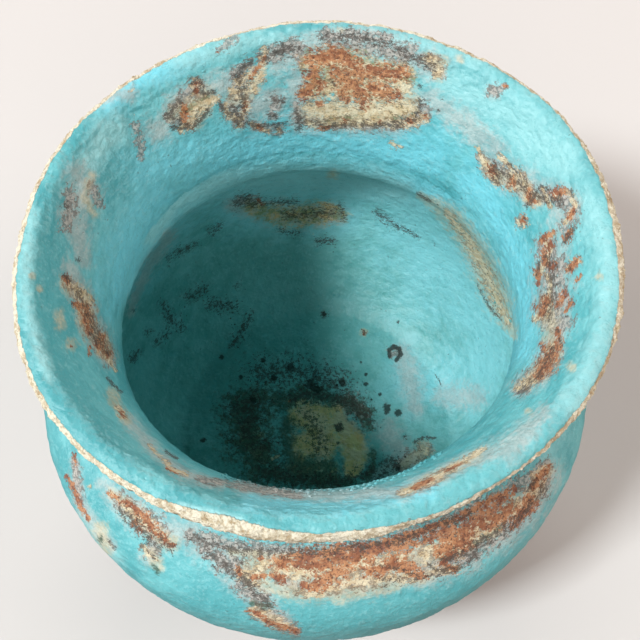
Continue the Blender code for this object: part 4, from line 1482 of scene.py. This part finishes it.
# The clay under the glaze
clayMake = {"rowGap": 0.0012, "floorRows": 40, "heelRows": 16, "columns": 240, "crease": radians(40)}
rings = {
    "lower_wall": (heelAt, lowerAt, jar["jointGap"] / 2),
    "belly_wall": (lowerAt, bellyAt, jar["jointGap"] / 2),
    "shoulder_wall": (bellyAt, shoulderAt, jar["jointGap"] / 2),
    "throat_wall": (shoulderAt, throatAt, jar["jointGap"] / 2),
    "flared_collar": (throatAt, lipAt, lipSeat + jar["jointGap"]),
}


def jointFace(at, along):
    tongue = jar["tongueHeight"]
    return [beside(at, -innerHalf(at), along), beside(at, 0.0, along + tongue), beside(at, halfWall, along)]


def ringOutline(start, end, topGap):
    rows = np.linspace(start, end, int((end - start) / clayMake["rowGap"]) + 2)[1:-1]
    inner = np.column_stack(beside(rows, -innerHalf(rows)))
    outer = np.column_stack(beside(rows[::-1], halfWall))
    top, bottom = jointFace(end, -topGap), jointFace(start, jar["jointGap"] / 2)[::-1]
    points = np.concatenate((inner, top, outer, bottom))
    return outlineOf((*points.T, 0.0, 0.0))


def baseOutline():
    floorRows = np.linspace(0, footAt, clayMake["floorRows"])[:-1]
    heelRows = np.linspace(footAt, heelAt, clayMake["heelRows"])[:-1]
    rows = np.concatenate((floorRows, heelRows))
    top = np.column_stack(beside(rows, -clayHalf(rows)))
    bottom = np.column_stack(beside(rows, clayHalf(rows)))[::-1]
    points = np.concatenate((top, jointFace(heelAt, -jar["jointGap"] / 2), bottom))
    shown = np.concatenate((np.zeros(len(top) + 3), np.ones(len(bottom))))
    return outlineOf((*points.T, shown, 0.0))


for node, (start, end, topGap) in rings.items():
    piece = turnedPiece("clay_" + node, ringOutline(start, end, topGap), clayMake["columns"], firedClay)
    piece.data.shade_smooth()
    piece.data.set_sharp_from_angle(angle=clayMake["crease"])
    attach(piece, "root")
    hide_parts(node)
base = turnedPiece("clay_base", baseOutline(), clayMake["columns"], firedClay)
base.data.shade_smooth()
base.data.set_sharp_from_angle(angle=clayMake["crease"])
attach(base, "root")
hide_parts("base_disc")
print("clay rings and base built")


# Studio: a far window, and five wide panels of soft light near the table
studio = {
    "floorSize": 6,
    "floorColour": (0.57, 0.585, 0.59),
    "floorBounce": (0.22, 0.20, 0.18),
    "worldColour": (1.00, 0.94, 0.86),
    "worldStrength": 0.06,
    "backdropColour": (0.76, 0.75, 0.74),
    "aimHeight": 0.1,
    "windowBearing": 210.5,
    "windowElevation": 51,
    "windowDistance": 3.0,
    "windowSize": 0.55,
    "windowPower": 88,
    "windowColour": (1.0, 1.0, 0.99),
    "panelDistance": 1.0,
    "panelSize": 0.6,
    "panelColour": (1.0, 0.83, 0.75),
    # bearing, elevation and power
    "panels": ((0, 20, 6.2), (90, 20, 6.0), (180, 20, 5.0), (300, 20, 1.2), (270, 32, 2.7)),
}


def addLight(name, bearing, elevation, distance, size, power, colour):
    light = bpy.data.lights.new(name, "AREA")
    light.shape = "SQUARE"
    light.size, light.energy, light.color = size, power, colour
    lamp = bpy.data.objects.new(name, light)
    turn, rise = radians(bearing), radians(elevation)
    way = Vector((cos(rise) * cos(turn), cos(rise) * sin(turn), sin(rise)))
    lamp.location = Vector((0, 0, studio["aimHeight"])) + way * distance
    lamp.rotation_euler = way.to_track_quat("Z", "Y").to_euler()
    bpy.context.scene.collection.objects.link(lamp)


def addFloor():
    bpy.ops.mesh.primitive_plane_add(size=studio["floorSize"])
    floor = bpy.context.object
    floor.name = "studio_floor"
    material, nodes, shader = newMaterial("pale floor", studio["floorColour"])
    seen = nodes.add("ShaderNodeLightPath", output="Is Camera Ray")
    colour = nodes.mix(seen, studio["floorBounce"], studio["floorColour"])
    nodes.tree.links.new(colour.socket, shader.inputs["Base Color"])
    shader.inputs["Roughness"].default_value = 0.9
    floor.data.materials.append(material)


def addWorld():
    # dim light from all round, and a pale backdrop past the floor's edge
    world = bpy.data.worlds.new("studio")
    world.use_nodes = True
    nodes = Nodes(world.node_tree)
    seen = nodes.add("ShaderNodeLightPath", output="Is Camera Ray")
    dim = tuple(part * studio["worldStrength"] for part in studio["worldColour"])
    sky = nodes.mix(seen, dim, studio["backdropColour"])
    nodes.tree.links.new(sky.socket, world.node_tree.nodes["Background"].inputs["Color"])
    bpy.context.scene.world = world


addFloor()
addWorld()
addLight(
    "window", studio["windowBearing"], studio["windowElevation"], studio["windowDistance"],
    studio["windowSize"], studio["windowPower"], studio["windowColour"],
)
for bearing, elevation, power in studio["panels"]:
    addLight(
        f"panel {bearing}", bearing, elevation, studio["panelDistance"],
        studio["panelSize"], power, studio["panelColour"],
    )
addCamera()
bpy.context.scene.view_settings.view_transform = "Standard"
print("scene ready")
